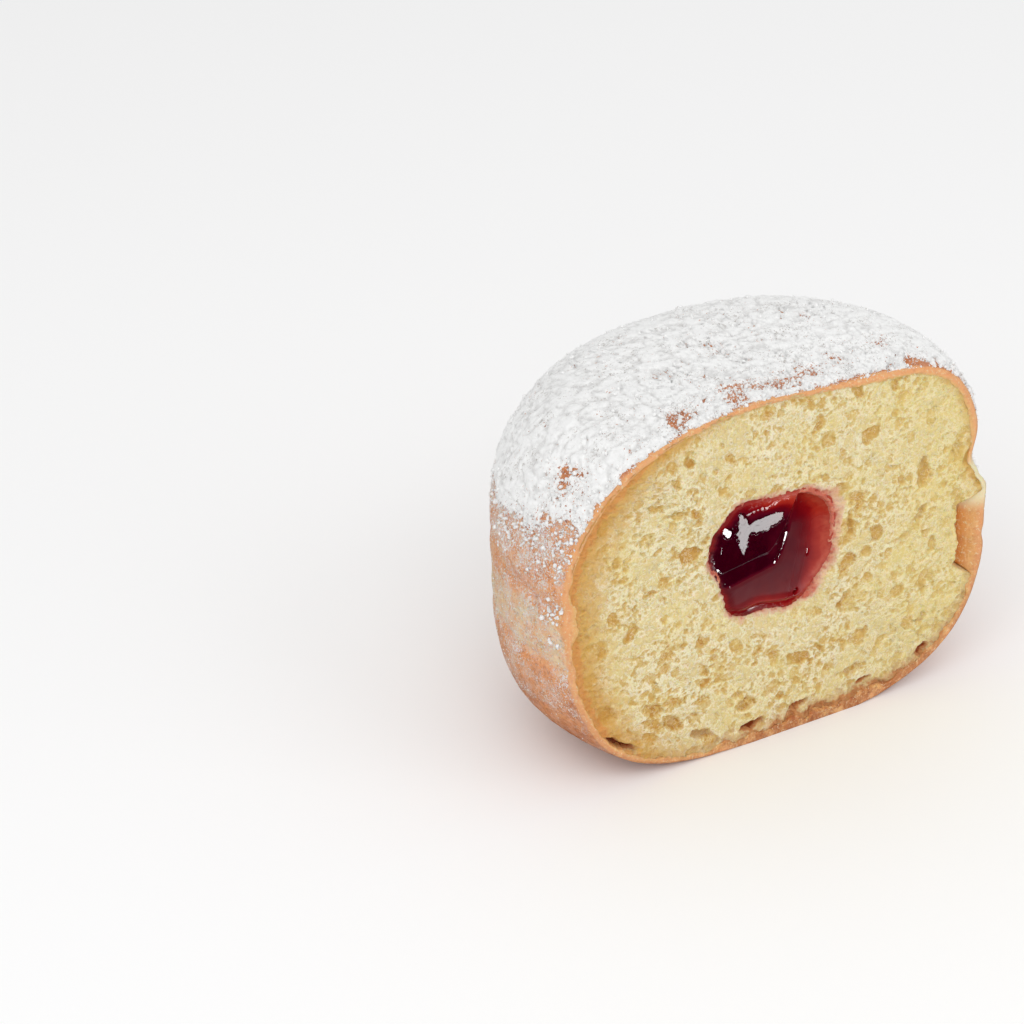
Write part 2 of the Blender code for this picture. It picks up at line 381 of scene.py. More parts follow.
@dataclass(frozen=True)
class DoughForm:
    """The risen dough's outer form, by the same rules and sizes as the solid it replaces."""

    mean_radius: float
    equator: float
    cut: float
    top_height: float = 31.2 * MM
    bottom_depth: float = 32.1 * MM
    top_side_power: float = 3.9
    top_crown_power: float = 2.75
    bottom_power: float = 3.2
    plan_lobes: tuple[tuple[int, float, float], ...] = ((2, 0.016, 0.02), (3, 0.039, 0.73))
    lean_x: float = 0.022
    lean_y: float = 0.063
    rise_x: float = 0.61
    rim_round: float = 0.5 * MM
    swells: tuple[Swell, ...] = (
        Swell(-36.0, -10.0, -18.0, 9.5, -1.3), Swell(-40.5, -10.0, 6.0, 8.5, 0.9),
        Swell(12.0, -10.0, -32.0, 8.5, 0.6), Swell(39.5, -10.0, -6.5, 9.0, 0.8),
        Swell(39.5, -10.0, 3.0, 4.5, 1.0), Swell(33.0, -8.0, 25.5, 8.0, 0.8),
        Swell(14.0, -10.0, 30.5, 11.0, -0.9), Swell(-7.0, -10.0, 31.5, 12.0, 0.7),
        Swell(-31.0, -10.0, 23.0, 8.0, -0.5), Swell(31.0, 4.0, 22.0, 13.0, 1.2),
        Swell(-12.0, 30.0, 22.0, 16.0, 0.9), Swell(18.0, 36.0, -8.0, 14.0, -0.8),
    )
    seams: tuple[Seam, ...] = (Seam(5.8, 1.0, 3, 0.4, 1.5, 0.55), Seam(-5.6, 0.8, 2, 1.9, 1.3, 0.45))
    belt_half_height: float = 5.0 * MM
    belt_sink: float = 0.35 * MM
    notch: tuple[float, float, float] = (37.5 * MM, -10.0 * MM, 9.4 * MM)
    notch_reach: float = 3.6 * MM
    notch_depth: float = 2.3 * MM
    notch_back_reach: float = 9.0 * MM
    solver_steps: int = 30

    def inside(self, x: Array, y: Array, z: Array) -> Array:
        """Below 0 inside the plain form: (r / plan) ** side + (|z| / half height) ** crown - 1.

        Args:
            x: places along the cut.
            y: places from front to back.
            z: heights above the belt.

        Returns:
            The value at each place.
        """
        top = z > 0.0
        height = np.where(top, z / (1.0 + self.rise_x * x), 0.0)
        x = x - self.lean_x * height
        y = y - self.lean_y * height
        angle = np.arctan2(y, x)
        plan = 1.0 + sum(s * np.cos(n * (angle - first)) for n, s, first in self.plan_lobes)
        reach = np.hypot(x, y) / (self.mean_radius * plan)
        upper = reach**self.top_side_power + np.maximum(height / self.top_height, 0.0) ** self.top_crown_power
        lower = reach**self.bottom_power + np.maximum(-z / self.bottom_depth, 0.0) ** self.bottom_power
        return np.where(top, upper, lower) - 1.0

    def distance(self, towards: Array) -> Array:
        """Distance to the plain skin along each direction, found by halving an interval.

        Args:
            towards: directions from the cut face's middle.

        Returns:
            The distances.
        """
        near = np.zeros(len(towards))
        far = np.full(len(towards), 2.5 * self.mean_radius)
        for _ in range(self.solver_steps):
            middle = 0.5 * (near + far)
            x, y, z = (towards * middle[:, None]).T
            within = self.inside(x, y + self.cut, z) < 0.0
            near = np.where(within, middle, near)
            far = np.where(within, far, middle)
        return near

    def offset(self, points: Array) -> Array:
        """How far the finished skin stands out from the plain form.

        Args:
            points: points of the plain skin.

        Returns:
            The offset at each point, along its direction.
        """
        angle = np.arctan2(points[:, 1], points[:, 0])
        total = -self.belt_sink * bell(points[:, 2], self.belt_half_height)
        for seam in self.seams:
            total -= seam.offset(points, angle)
        across = np.hypot(points[:, 0] - self.notch[0], points[:, 2] - self.notch[2])
        behind = points[:, 1] - self.notch[1]
        total -= self.notch_depth * bell(across, self.notch_reach) * bell(behind, self.notch_back_reach)
        for swell in self.swells:
            total += MM * swell.offset(points)
        return total

    def skin(self, share: Array, angle: Array, inward: Array | float = 0.0) -> Array:
        """Points of the skin, or of a surface an even distance inside it.

        Each lies on a line from the cut face's middle, which rises out of the cut by
        (pi / 2) (1 - share).

        Args:
            share: 1 at the cut and 0 at the back.
            angle: angle round the cut from +X.
            inward: how far inside the skin the surface lies.

        Returns:
            The points.
        """
        rise = 0.5 * math.pi * (1.0 - share)
        towards = around(np.cos(rise), angle, np.sin(rise))
        plain = self.distance(towards)
        centre = np.array([0.0, self.cut, 0.0])
        out = plain + self.offset(centre + towards * plain[:, None]) - inward
        return centre + towards * out[:, None]

    def ring(self, rise: float, angle: Array, inward: Array | float) -> Array:
        """Points inside the skin, on lines that rise out of the cut by an angle in degrees."""
        return self.skin(np.full_like(angle, 1.0 - rise / 90.0), angle, inward)

    def back(self, inward: float) -> Array:
        """The one point straight behind the cut face's middle, at a distance inside the skin."""
        return self.skin(np.zeros(1), np.zeros(1), inward)

    def normals(self, points: Array) -> Array:
        """Outward unit vectors: the slope of the plain form's inside value."""
        steps = 0.05 * MM * np.eye(3)
        rises = [self.inside(*(points + side).T) - self.inside(*(points - side).T) for side in steps]
        slope = np.stack(rises, axis=1)
        return slope / np.linalg.norm(slope, axis=1)[:, None]

    def rim_radius(self, angle: Array) -> Array:
        """Radius of the cut face's outline at each angle, read off a fine ring."""
        ring = np.linspace(-math.pi, math.pi, 1441)
        points = self.skin(np.ones_like(ring), ring)
        return np.interp(turn_from(0.0, angle), ring, np.hypot(points[:, 0], points[:, 2]))

    def stand(self, points: Array, lowest: float = 0.0) -> Array:
        """Lift points from belt height to height above the plane and press the foot flat."""
        lifted = points.copy()
        lifted[:, 2] = np.maximum(lifted[:, 2] + self.equator, lowest)
        return lifted


class Recipe:
    """A material in the making, with short calls for its nodes."""

    def __init__(self, name: str) -> None:
        """Start a material with one Principled shader and Object coordinates."""
        self.material = bpy.data.materials.new(name)
        self.material.use_nodes = True
        self.tree = self.material.node_tree
        self.shader = self.tree.nodes["Principled BSDF"]
        self.place = self.node("TexCoord").outputs["Object"]

    def feed(self, target: Socket, source: object) -> None:
        """Link a socket to another, or set it to a plain value.

        Args:
            target: the socket to be fed.
            source: a socket, number, vector or colour.
        """
        if isinstance(source, Socket):
            self.tree.links.new(source, target)
        elif isinstance(source, tuple) and target.type == "RGBA":
            target.default_value = (*source, 1.0)
        else:
            target.default_value = source

    def fill(self, node: bpy.types.Node, inputs: dict[str, object]) -> None:
        """Feed a node's inputs by name; underscores stand for the spaces in the names."""
        for name, source in inputs.items():
            self.feed(node.inputs[name.replace("_", " ")], source)

    def node(self, kind: str, **inputs: object) -> bpy.types.Node:
        """A new shader node of a kind, with some of its inputs fed."""
        node = self.tree.nodes.new("ShaderNode" + kind)
        self.fill(node, inputs)
        return node

    def shade(self, **inputs: object) -> None:
        """Feed inputs of the shader: a plain number is set on the socket itself."""
        self.fill(self.shader, inputs)

    def soak(self, weight: float, *reach: float) -> None:
        """Let light soak in: its weight and how far red, green and blue travel, in millimetres."""
        self.shade(Subsurface_Weight=weight, Subsurface_Scale=1.0)
        self.shade(Subsurface_Radius=tuple(each * MM for each in reach))

    def point_value(self, name: str) -> Socket:
        """The mesh's point attribute of that name."""
        node = self.node("Attribute")
        node.attribute_name = name
        return node.outputs["Fac"]

    def noise(self, size: float, detail: float = 3.0, roughness: float = 0.55, tall: float = 1.0) -> Socket:
        """Noise from 0 to 1 with blobs of about a size in millimetres, drawn out upwards by tall.

        Args:
            size: size of the blobs.
            detail: number of finer layers.
            roughness: strength of the finer layers.
            tall: how much taller than wide the blobs are.

        Returns:
            The noise.
        """
        mapping = self.node("Mapping", Vector=self.place, Scale=(1.0, 1.0, 1.0 / tall)).outputs["Vector"]
        node = self.node("TexNoise", Vector=mapping, Scale=1.0 / (size * MM))
        self.fill(node, {"Detail": detail, "Roughness": roughness})
        return node.outputs["Fac"]

    def waver(self, size: float, strength: float, detail: float = 3.0, roughness: float = 0.55) -> Socket:
        """Noise about 0: strength * (noise - 0.5)."""
        return self.times(self.minus(self.noise(size, detail, roughness), 0.5), strength)

    def cells(self, size: float, bend: float) -> Socket:
        """Distance to the nearest of scattered points, as a share of the distance between them.

        Args:
            size: distance between the points, in millimetres.
            bend: how far noise shifts the places first, so that the cells are not round.

        Returns:
            The distance, from 0 upwards.
        """
        scale = 1.0 / (size * MM)
        shifted = self.node("VectorMath")
        shifted.operation = "MULTIPLY_ADD"
        self.feed(shifted.inputs[0], self.node("TexNoise", Vector=self.place, Scale=scale).outputs["Color"])
        self.feed(shifted.inputs[1], (bend * MM,) * 3)
        self.feed(shifted.inputs[2], self.place)
        return self.node("TexVoronoi", Vector=shifted.outputs[0], Scale=scale).outputs["Distance"]

    def math(self, operation: str, first: object, second: object = 0.0) -> Socket:
        """One step of arithmetic on sockets or numbers."""
        node = self.node("Math")
        node.operation = operation
        self.feed(node.inputs[0], first)
        self.feed(node.inputs[1], second)
        return node.outputs[0]

    def plus(self, first: object, second: object) -> Socket:
        """Sum of two sockets or numbers."""
        return self.math("ADD", first, second)

    def minus(self, first: object, second: object) -> Socket:
        """First less second."""
        return self.math("SUBTRACT", first, second)

    def times(self, first: object, second: object) -> Socket:
        """Product of two sockets or numbers."""
        return self.math("MULTIPLY", first, second)

    def rise(self, value: object, low: object, high: object, top: float = 1.0) -> Socket:
        """Smooth rise from 0 at low to top at high."""
        node = self.node("MapRange", Value=value, From_Min=low, From_Max=high, To_Max=top)
        node.interpolation_type = "SMOOTHSTEP"
        return node.outputs["Result"]

    def specks(self, noise: Socket, need: Socket) -> Socket:
        """1 where noise is clearly above the need, with a narrow soft border."""
        return self.rise(noise, need, self.plus(need, 0.05))

    def ramp(self, factor: Socket, stops: tuple[tuple[float, Colour], ...]) -> Socket:
        """Colour that runs through the stops, each a place from 0 to 1 and its colour.

        Args:
            factor: where on the ramp.
            stops: places and colours in order.

        Returns:
            The colour.
        """
        node = self.node("ValToRGB", Fac=factor)
        elements = node.color_ramp.elements
        while len(elements) < len(stops):
            elements.new(0.5)
        for element, (place, colour) in zip(elements, stops):
            element.position = place
            element.color = (*colour, 1.0)
        return node.outputs["Color"]

    def mix(self, factor: object, first: object, second: object) -> Socket:
        """Colour between first at factor 0 and second at factor 1."""
        node = self.node("Mix")
        node.data_type = "RGBA"
        for key, source in (("Factor", factor), (6, first), (7, second)):
            self.feed(node.inputs[key], source)
        return node.outputs[2]

    def over(
        self, under: object, top: object, value: Socket, low: float, high: float, most: float = 1.0
    ) -> Socket:
        """A colour laid over another, more of it as a value rises from low to high."""
        return self.mix(self.rise(value, low, high, most), under, top)

    def bump(self, *layers: tuple[Socket, float]) -> None:
        """Fine relief under the light: each layer is a height from 0 to 1 and its full height in mm.

        Args:
            layers: heights and distances, broad ones first.
        """
        normal = None
        for height, distance in layers:
            node = self.node("Bump", Strength=1.0, Distance=distance * MM, Height=height)
            if normal is not None:
                self.feed(node.inputs["Normal"], normal)
            normal = node.outputs["Normal"]
        self.shade(Normal=normal)


@dataclass(frozen=True)
class CrustFinish:
    """Fried skin: pale at the belt, browned above and below, hazy with fine sugar."""

    belt: Colour = srgb(236, 206, 164)
    gold: Colour = srgb(232, 162, 110)
    tan: Colour = srgb(204, 130, 84)
    brown: Colour = srgb(158, 88, 56)
    rim: Colour = srgb(230, 166, 114)
    cut_edge: Colour = srgb(228, 176, 112)
    foot_edge: Colour = srgb(180, 108, 60)
    hollow: Colour = srgb(212, 128, 50)
    pale: Colour = srgb(232, 218, 178)
    streak: Colour = srgb(236, 190, 132)
    dust: Colour = srgb(238, 232, 228)

    def skin(self, r: Recipe) -> Socket:
        """Colour of the bare skin from its bake value, blotched and freckled, with fine dark pits."""
        blotched = r.plus(r.point_value("bake"), r.waver(6.0, 0.7))
        browned = r.plus(blotched, r.waver(1.0, 1.0, 5.0, 0.7))
        skin = r.ramp(browned, ((0.0, self.belt), (0.35, self.gold), (0.65, self.tan), (1.0, self.brown)))
        return r.over(skin, self.brown, r.noise(0.5, 2.0), 0.56, 0.7, 0.5)

    def edge(self, r: Recipe) -> Socket:
        """Colour of the cut edge: orange, browner at the foot, deep orange in the side gap, pale above it.

        Args:
            r: the material in the making.

        Returns:
            The colour.
        """
        edge = r.over(self.rim, self.cut_edge, r.point_value("cut"), 0.3, 0.55)
        foot = r.point_value("foot")
        edge = r.mix(r.times(foot, r.rise(r.noise(2.4, 5.0, 0.65), 0.35, 0.55)), edge, self.foot_edge)
        edge = r.mix(r.times(r.rise(r.noise(0.8, 4.0, 0.7), 0.5, 0.64, 0.7), foot), edge, self.brown)
        edge = r.over(edge, self.hollow, r.point_value("gap"), 0.15, 0.9)
        edge = r.over(edge, self.streak, r.noise(0.6, 3.0, 0.6, 4.0), 0.48, 0.8, 0.6)
        edge = r.over(edge, self.tan, r.noise(1.1, 5.0, 0.75), 0.50, 0.66, 0.45)
        edge = r.over(edge, self.pale, r.noise(0.5, 3.0, 0.7), 0.56, 0.64, 0.5)
        return r.mix(r.point_value("pale"), edge, self.pale)

    def material(self) -> bpy.types.Material:
        """Skin, cut edge and the haze and specks of sugar on the skin.

        Returns:
            The material.
        """
        r = Recipe("crust")
        bare = r.over(self.skin(r), self.edge(r), r.point_value("cut"), 0.05, 0.3)
        dust = r.point_value("dust")
        film = r.times(dust, r.rise(r.noise(2.2, 5.0, 0.7), 0.38, 0.7, 0.48))
        specks = r.specks(r.noise(0.34, 3.0, 0.75), r.minus(0.78, r.times(dust, 0.36)))
        specks = r.times(specks, r.rise(dust, 0.02, 0.2, 0.9))
        r.shade(Base_Color=r.mix(specks, r.mix(film, bare, self.dust), self.dust), Specular_IOR_Level=0.3)
        r.shade(Roughness=r.plus(0.5, r.times(0.2, r.plus(film, specks))))
        r.soak(0.3, 1.4, 0.7, 0.3)
        r.bump((r.noise(1.2, 4.0, 0.65), 0.2), (r.plus(r.noise(0.3, 2.0, 0.6), r.times(specks, 1.5)), 0.05))
        return r.material


@dataclass(frozen=True)
class CrumbFinish:
    """Airy yellow crumb: cream walls, yellow-brown painted shade in the bubbles and a painted highlight at
    their rims, amber near the crust, stained by the jelly.
    """

    # Also a painted highlight at the bubbles' rims.
    wall: Colour = srgb(244, 236, 208)
    cream: Colour = srgb(224, 204, 150)
    # Painted shade in the bubbles; the next one is deeper in.
    ochre_pore_shade: Colour = srgb(214, 178, 106)
    deep: Colour = srgb(198, 146, 70)
    yellow: Colour = srgb(232, 210, 134)
    amber: Colour = srgb(210, 160, 80)
    rind: Colour = srgb(216, 150, 84)
    tan: Colour = srgb(208, 174, 126)
    toast: Colour = srgb(194, 128, 78)
    gap_brown_and_shadow: Colour = srgb(152, 72, 32)
    fleck: Colour = srgb(158, 124, 78)
    blush: Colour = srgb(228, 184, 156)
    stain: Colour = srgb(206, 112, 92)

    def fine_pores(self, r: Recipe) -> Socket:
        """The smallest bubbles, too fine for the mesh: 1 in the middle of each, 0 on their walls; the colour
        paints shade into them.
        """
        small = r.rise(r.cells(0.5, 0.5), 0.50, 0.12, 0.6)
        larger = r.rise(r.cells(1.15, 0.9), 0.36, 0.14)
        return r.math("MAXIMUM", small, r.times(larger, r.rise(r.noise(3.0), 0.5, 0.66)))

    def crumb(self, r: Recipe, fine: Socket) -> Socket:
        """Cream walls with painted shade in the bubbles, yellow-brown and darker where deeper, and a whitish
        painted highlight at their rims; with yellower patches, pale threads and fine darker flecks.

        Args:
            r: the material in the making.
            fine: the finest bubbles.

        Returns:
            The colour.
        """
        # Painted shade and highlight: bubble depth, with random patches, runs the colour from cream, through
        # a whitish rim highlight, to yellow-brown and darker deeper in.
        pore = r.plus(r.point_value("pore"), r.plus(r.waver(0.45, 1.1, 4.0, 0.75), r.times(fine, 0.3)))
        colours = (self.cream, self.wall, self.cream, self.ochre_pore_shade, self.deep)
        stops = tuple(zip((0.0, 0.13, 0.32, 0.62, 1.0), colours))
        colour = r.over(r.ramp(pore, stops), self.yellow, r.noise(7.0), 0.4, 0.7, 0.4)
        colour = r.mix(r.times(r.point_value("yellow"), 0.45), colour, self.yellow)
        off_middle = r.math("ABSOLUTE", r.minus(r.noise(1.3, 3.0, 0.6), 0.5))
        colour = r.over(colour, self.wall, off_middle, 0.03, 0.0, 0.45)
        return r.over(colour, self.fleck, r.noise(0.45, 2.0, 0.6), 0.68, 0.78, 0.5)

    def blurred(self, r: Recipe, name: str, size: float, strength: float) -> Socket:
        """A point value whose border is broken up by noise of a size."""
        return r.plus(r.point_value(name), r.waver(size, strength, 5.0, 0.68))

    def material(self) -> bpy.types.Material:
        """Crumb, then the edge, toast and stain values over it, with fibres as fine relief; the darkest toast
        is partly painted shadow in the deep gaps.

        Returns:
            The material.
        """
        r = Recipe("crumb")
        fine = self.fine_pores(r)
        edge = self.blurred(r, "edge", 1.6, 0.9)
        toast = self.blurred(r, "toast", 1.2, 1.5)
        wetted = self.blurred(r, "stain", 1.2, 0.8)
        colour = self.crumb(r, fine)
        for top, value, low, high, most in (
            (self.amber, edge, 0.15, 0.8, 0.85),
            (self.rind, edge, 0.8, 1.05, 0.9),
            (self.tan, toast, 0.2, 0.6, 0.75),
            (self.toast, toast, 0.6, 0.95, 0.9),
            # Partly crust brown, partly painted shadow in the deepest gaps between crumb and crust.
            (self.gap_brown_and_shadow, toast, 1.1, 1.45, 1.0),
            (self.blush, wetted, 0.2, 0.6, 0.8),
            (self.stain, wetted, 0.6, 1.0, 1.0),
        ):
            colour = r.over(colour, top, value, low, high, most)
        r.shade(Base_Color=colour, Specular_IOR_Level=0.25)
        r.shade(Roughness=r.minus(0.75, r.rise(wetted, 0.5, 1.0, 0.5)))
        r.soak(0.4, 1.4, 0.9, 0.35)
        r.bump((r.noise(0.6, 4.0, 0.75), 0.22), (r.minus(1.0, fine), 0.12), (r.noise(0.25, 2.0), 0.06))
        return r.material


@dataclass(frozen=True)
class JellyFinish:
    """Glossy red jelly, nearly black where it is deep and orange red where it is thin."""

    deep: Colour = srgb(50, 0, 14)
    wine: Colour = srgb(84, 8, 26)
    crimson: Colour = srgb(104, 6, 17)
    red: Colour = srgb(132, 14, 18)
    bright: Colour = srgb(164, 42, 30)
    thin: Colour = srgb(196, 92, 66)

    def material(self) -> bpy.types.Material:
        """Colour from the clear value, 0 deep to 1 thin, and gloss from the matte value.

        Returns:
            The material.
        """
        r = Recipe("jelly")
        colours = (self.deep, self.wine, self.crimson, self.red, self.bright, self.thin)
        stops = tuple(zip((0.0, 0.2, 0.42, 0.62, 0.84, 1.0), colours))
        r.shade(Base_Color=r.ramp(r.plus(r.point_value("clear"), r.waver(1.6, 0.2, 4.0)), stops))
        r.shade(Specular_IOR_Level=0.45, IOR=1.42)
        r.shade(Roughness=r.plus(0.05, r.times(r.point_value("matte"), 0.27)))
        r.soak(0.12, 1.5, 0.3, 0.3)
        r.bump((r.noise(0.9, 3.0, 0.5), 0.012))
        return r.material


@dataclass(frozen=True)
class SugarFinish:
    """Icing sugar: a matt white powder with painted shade in its creases and in small grey pits, and the
    crust showing through other pits.
    """

    white: Colour = srgb(250, 250, 249)
    # Painted shade of the coat's creases.
    shade: Colour = srgb(222, 221, 220)
    # Grey of the small pits: painted shade.
    pit_shade: Colour = srgb(182, 176, 170)
    tint: Colour = srgb(200, 124, 80)
    brown: Colour = srgb(150, 92, 66)

    def material(self, name: str) -> bpy.types.Material:
        """White with a fine grain; the crease value greys it as painted shade, small grey pits are painted
        shade, and the thin value opens brown pits.

        Args:
            name: the material's name.

        Returns:
            The material.
        """
        r = Recipe(name)
        crease = r.point_value("crease")
        # Painted shade: the white turns grey towards the shade colour in the billows' creases, broken up by
        # random grain.
        body = r.over(self.white, self.shade, r.plus(crease, r.waver(0.8, 1.6, 5.0, 0.7)), 0.1, 1.1)
        # Painted shade: small grey pits, in zones and a little more in creases, stand for shadow in the
        # powder's pits.
        need = r.minus(0.72, r.rise(r.noise(5.0), 0.4, 0.62, 0.14))
        shaded_pits = r.specks(r.noise(0.42, 3.0, 0.7), r.minus(need, r.times(crease, 0.04)))
        body = r.mix(r.times(shaded_pits, 0.8), body, self.pit_shade)
        need = r.minus(0.76, r.times(r.point_value("thin"), 0.29))
        under = r.over(self.tint, self.brown, r.noise(0.9, 2.0), 0.4, 0.6)
        colour = r.mix(r.specks(r.noise(0.5, 4.0, 0.75), need), body, under)
        r.shade(Base_Color=colour, Roughness=0.9, Specular_IOR_Level=0.1)
        r.soak(0.25, 0.4, 0.4, 0.4)
        r.bump((r.noise(0.55, 5.0, 0.75), 0.2), (r.noise(0.16, 2.0, 0.6), 0.05))
        return r.material


@dataclass(frozen=True)
class FloorFinish:
    """A plain pale table, matt, with only a trace of unevenness."""

    light: Colour = (0.965, 0.965, 0.965)
    dark: Colour = (0.955, 0.955, 0.955)

    def material(self) -> bpy.types.Material:
        """Two pale greys, mixed by broad noise."""
        r = Recipe("table")
        r.shade(Base_Color=r.mix(r.noise(300.0), self.light, self.dark))
        r.shade(Roughness=0.9, Specular_IOR_Level=0.1)
        return r.material


@dataclass(frozen=True)
class Stretch:
    """A stretch of a rim, by the angle of its middle and its spread, both in degrees."""

    middle: float
    spread: float
    most: float = 1.0

    def share(self, angle: Array) -> Array:
        """most * exp(-(turn from the middle / spread) ** 2)."""
        return self.most * bell(turn_from(math.radians(self.middle), angle), math.radians(self.spread))


@dataclass(frozen=True)
class Places:
    """Places on a round face: right of and above its middle, round it, and in from its border."""

    x: Array
    z: Array
    angle: Array
    inset: Array

    @classmethod
    def within(cls, border: Array, radius: Array, angle: Array) -> Places:
        """Places at a radius and angle, inside the border's radius at that angle."""
        return cls(radius * np.cos(angle), radius * np.sin(angle), angle, border - radius)

    @property
    def flat(self) -> Array:
        """The places as points in the plane of the face."""
        return np.stack([self.x, np.zeros_like(self.x), self.z], axis=1)


@dataclass(frozen=True)
class CutFace:
    """Where crust, crumb and jelly meet at the cut; insets are measured in from the rim."""

    form: DoughForm
    crust: float = 0.55 * MM
    crust_waver: float = 0.50 * MM
    gap: Stretch = Stretch(-8.0, 12.4)
    gap_width: float = 4.9 * MM
    gap_depth: float = 2.8 * MM
    ledge: Stretch = Stretch(-75.0, 52.0)
    ledge_extra: float = 1.9 * MM
    ledge_waver: float = 1.6 * MM
    thick_spots: tuple[Stretch, ...] = (
        Stretch(28.0, 12.0, 0.9), Stretch(58.0, 12.0, 0.5),
        Stretch(177.6, 3.4, 1.9), Stretch(172.0, 3.0, 0.9),
    )
    fold: Stretch = Stretch(175.0, 4.5)
    pale_edge: Stretch = Stretch(7.0, 9.0)
    field: RandomField = RandomField(31)

    def side_gap(self, angle: Array) -> Array:
        """1 in the middle of the gap at the right rim, falling to 0 beyond it."""
        return step(self.gap.share(angle), 0.38, 0.58)

    def pale(self, angle: Array) -> Array:
        """1 where the cut edge is as pale as the crumb, above the side gap."""
        return step(self.pale_edge.share(angle), 0.3, 0.8)

    def round_rim(self, angle: Array, size: float, octaves: int = 3) -> Array:
        """Random waver along the rim with bumps of about a size."""
        return self.field.layered(around(self.form.mean_radius, angle), size, octaves, 0.6)

    def crust_width(self, angle: Array) -> Array:
        """Thickness of the crust's cut edge, wavering along the rim and thick at the bottom.

        Args:
            angle: angles round the cut.

        Returns:
            The width at each angle.
        """
        ledge = self.ledge.share(angle)
        waver = self.crust_waver + (self.ledge_waver - self.crust_waver) * ledge
        width = self.crust + self.ledge_extra * ledge + waver * self.round_rim(angle, 3.6 * MM, 4)
        width = width + 0.35 * MM * self.round_rim(angle + 0.5, 1.3 * MM)
        return width + MM * sum(spot.share(angle) for spot in self.thick_spots)


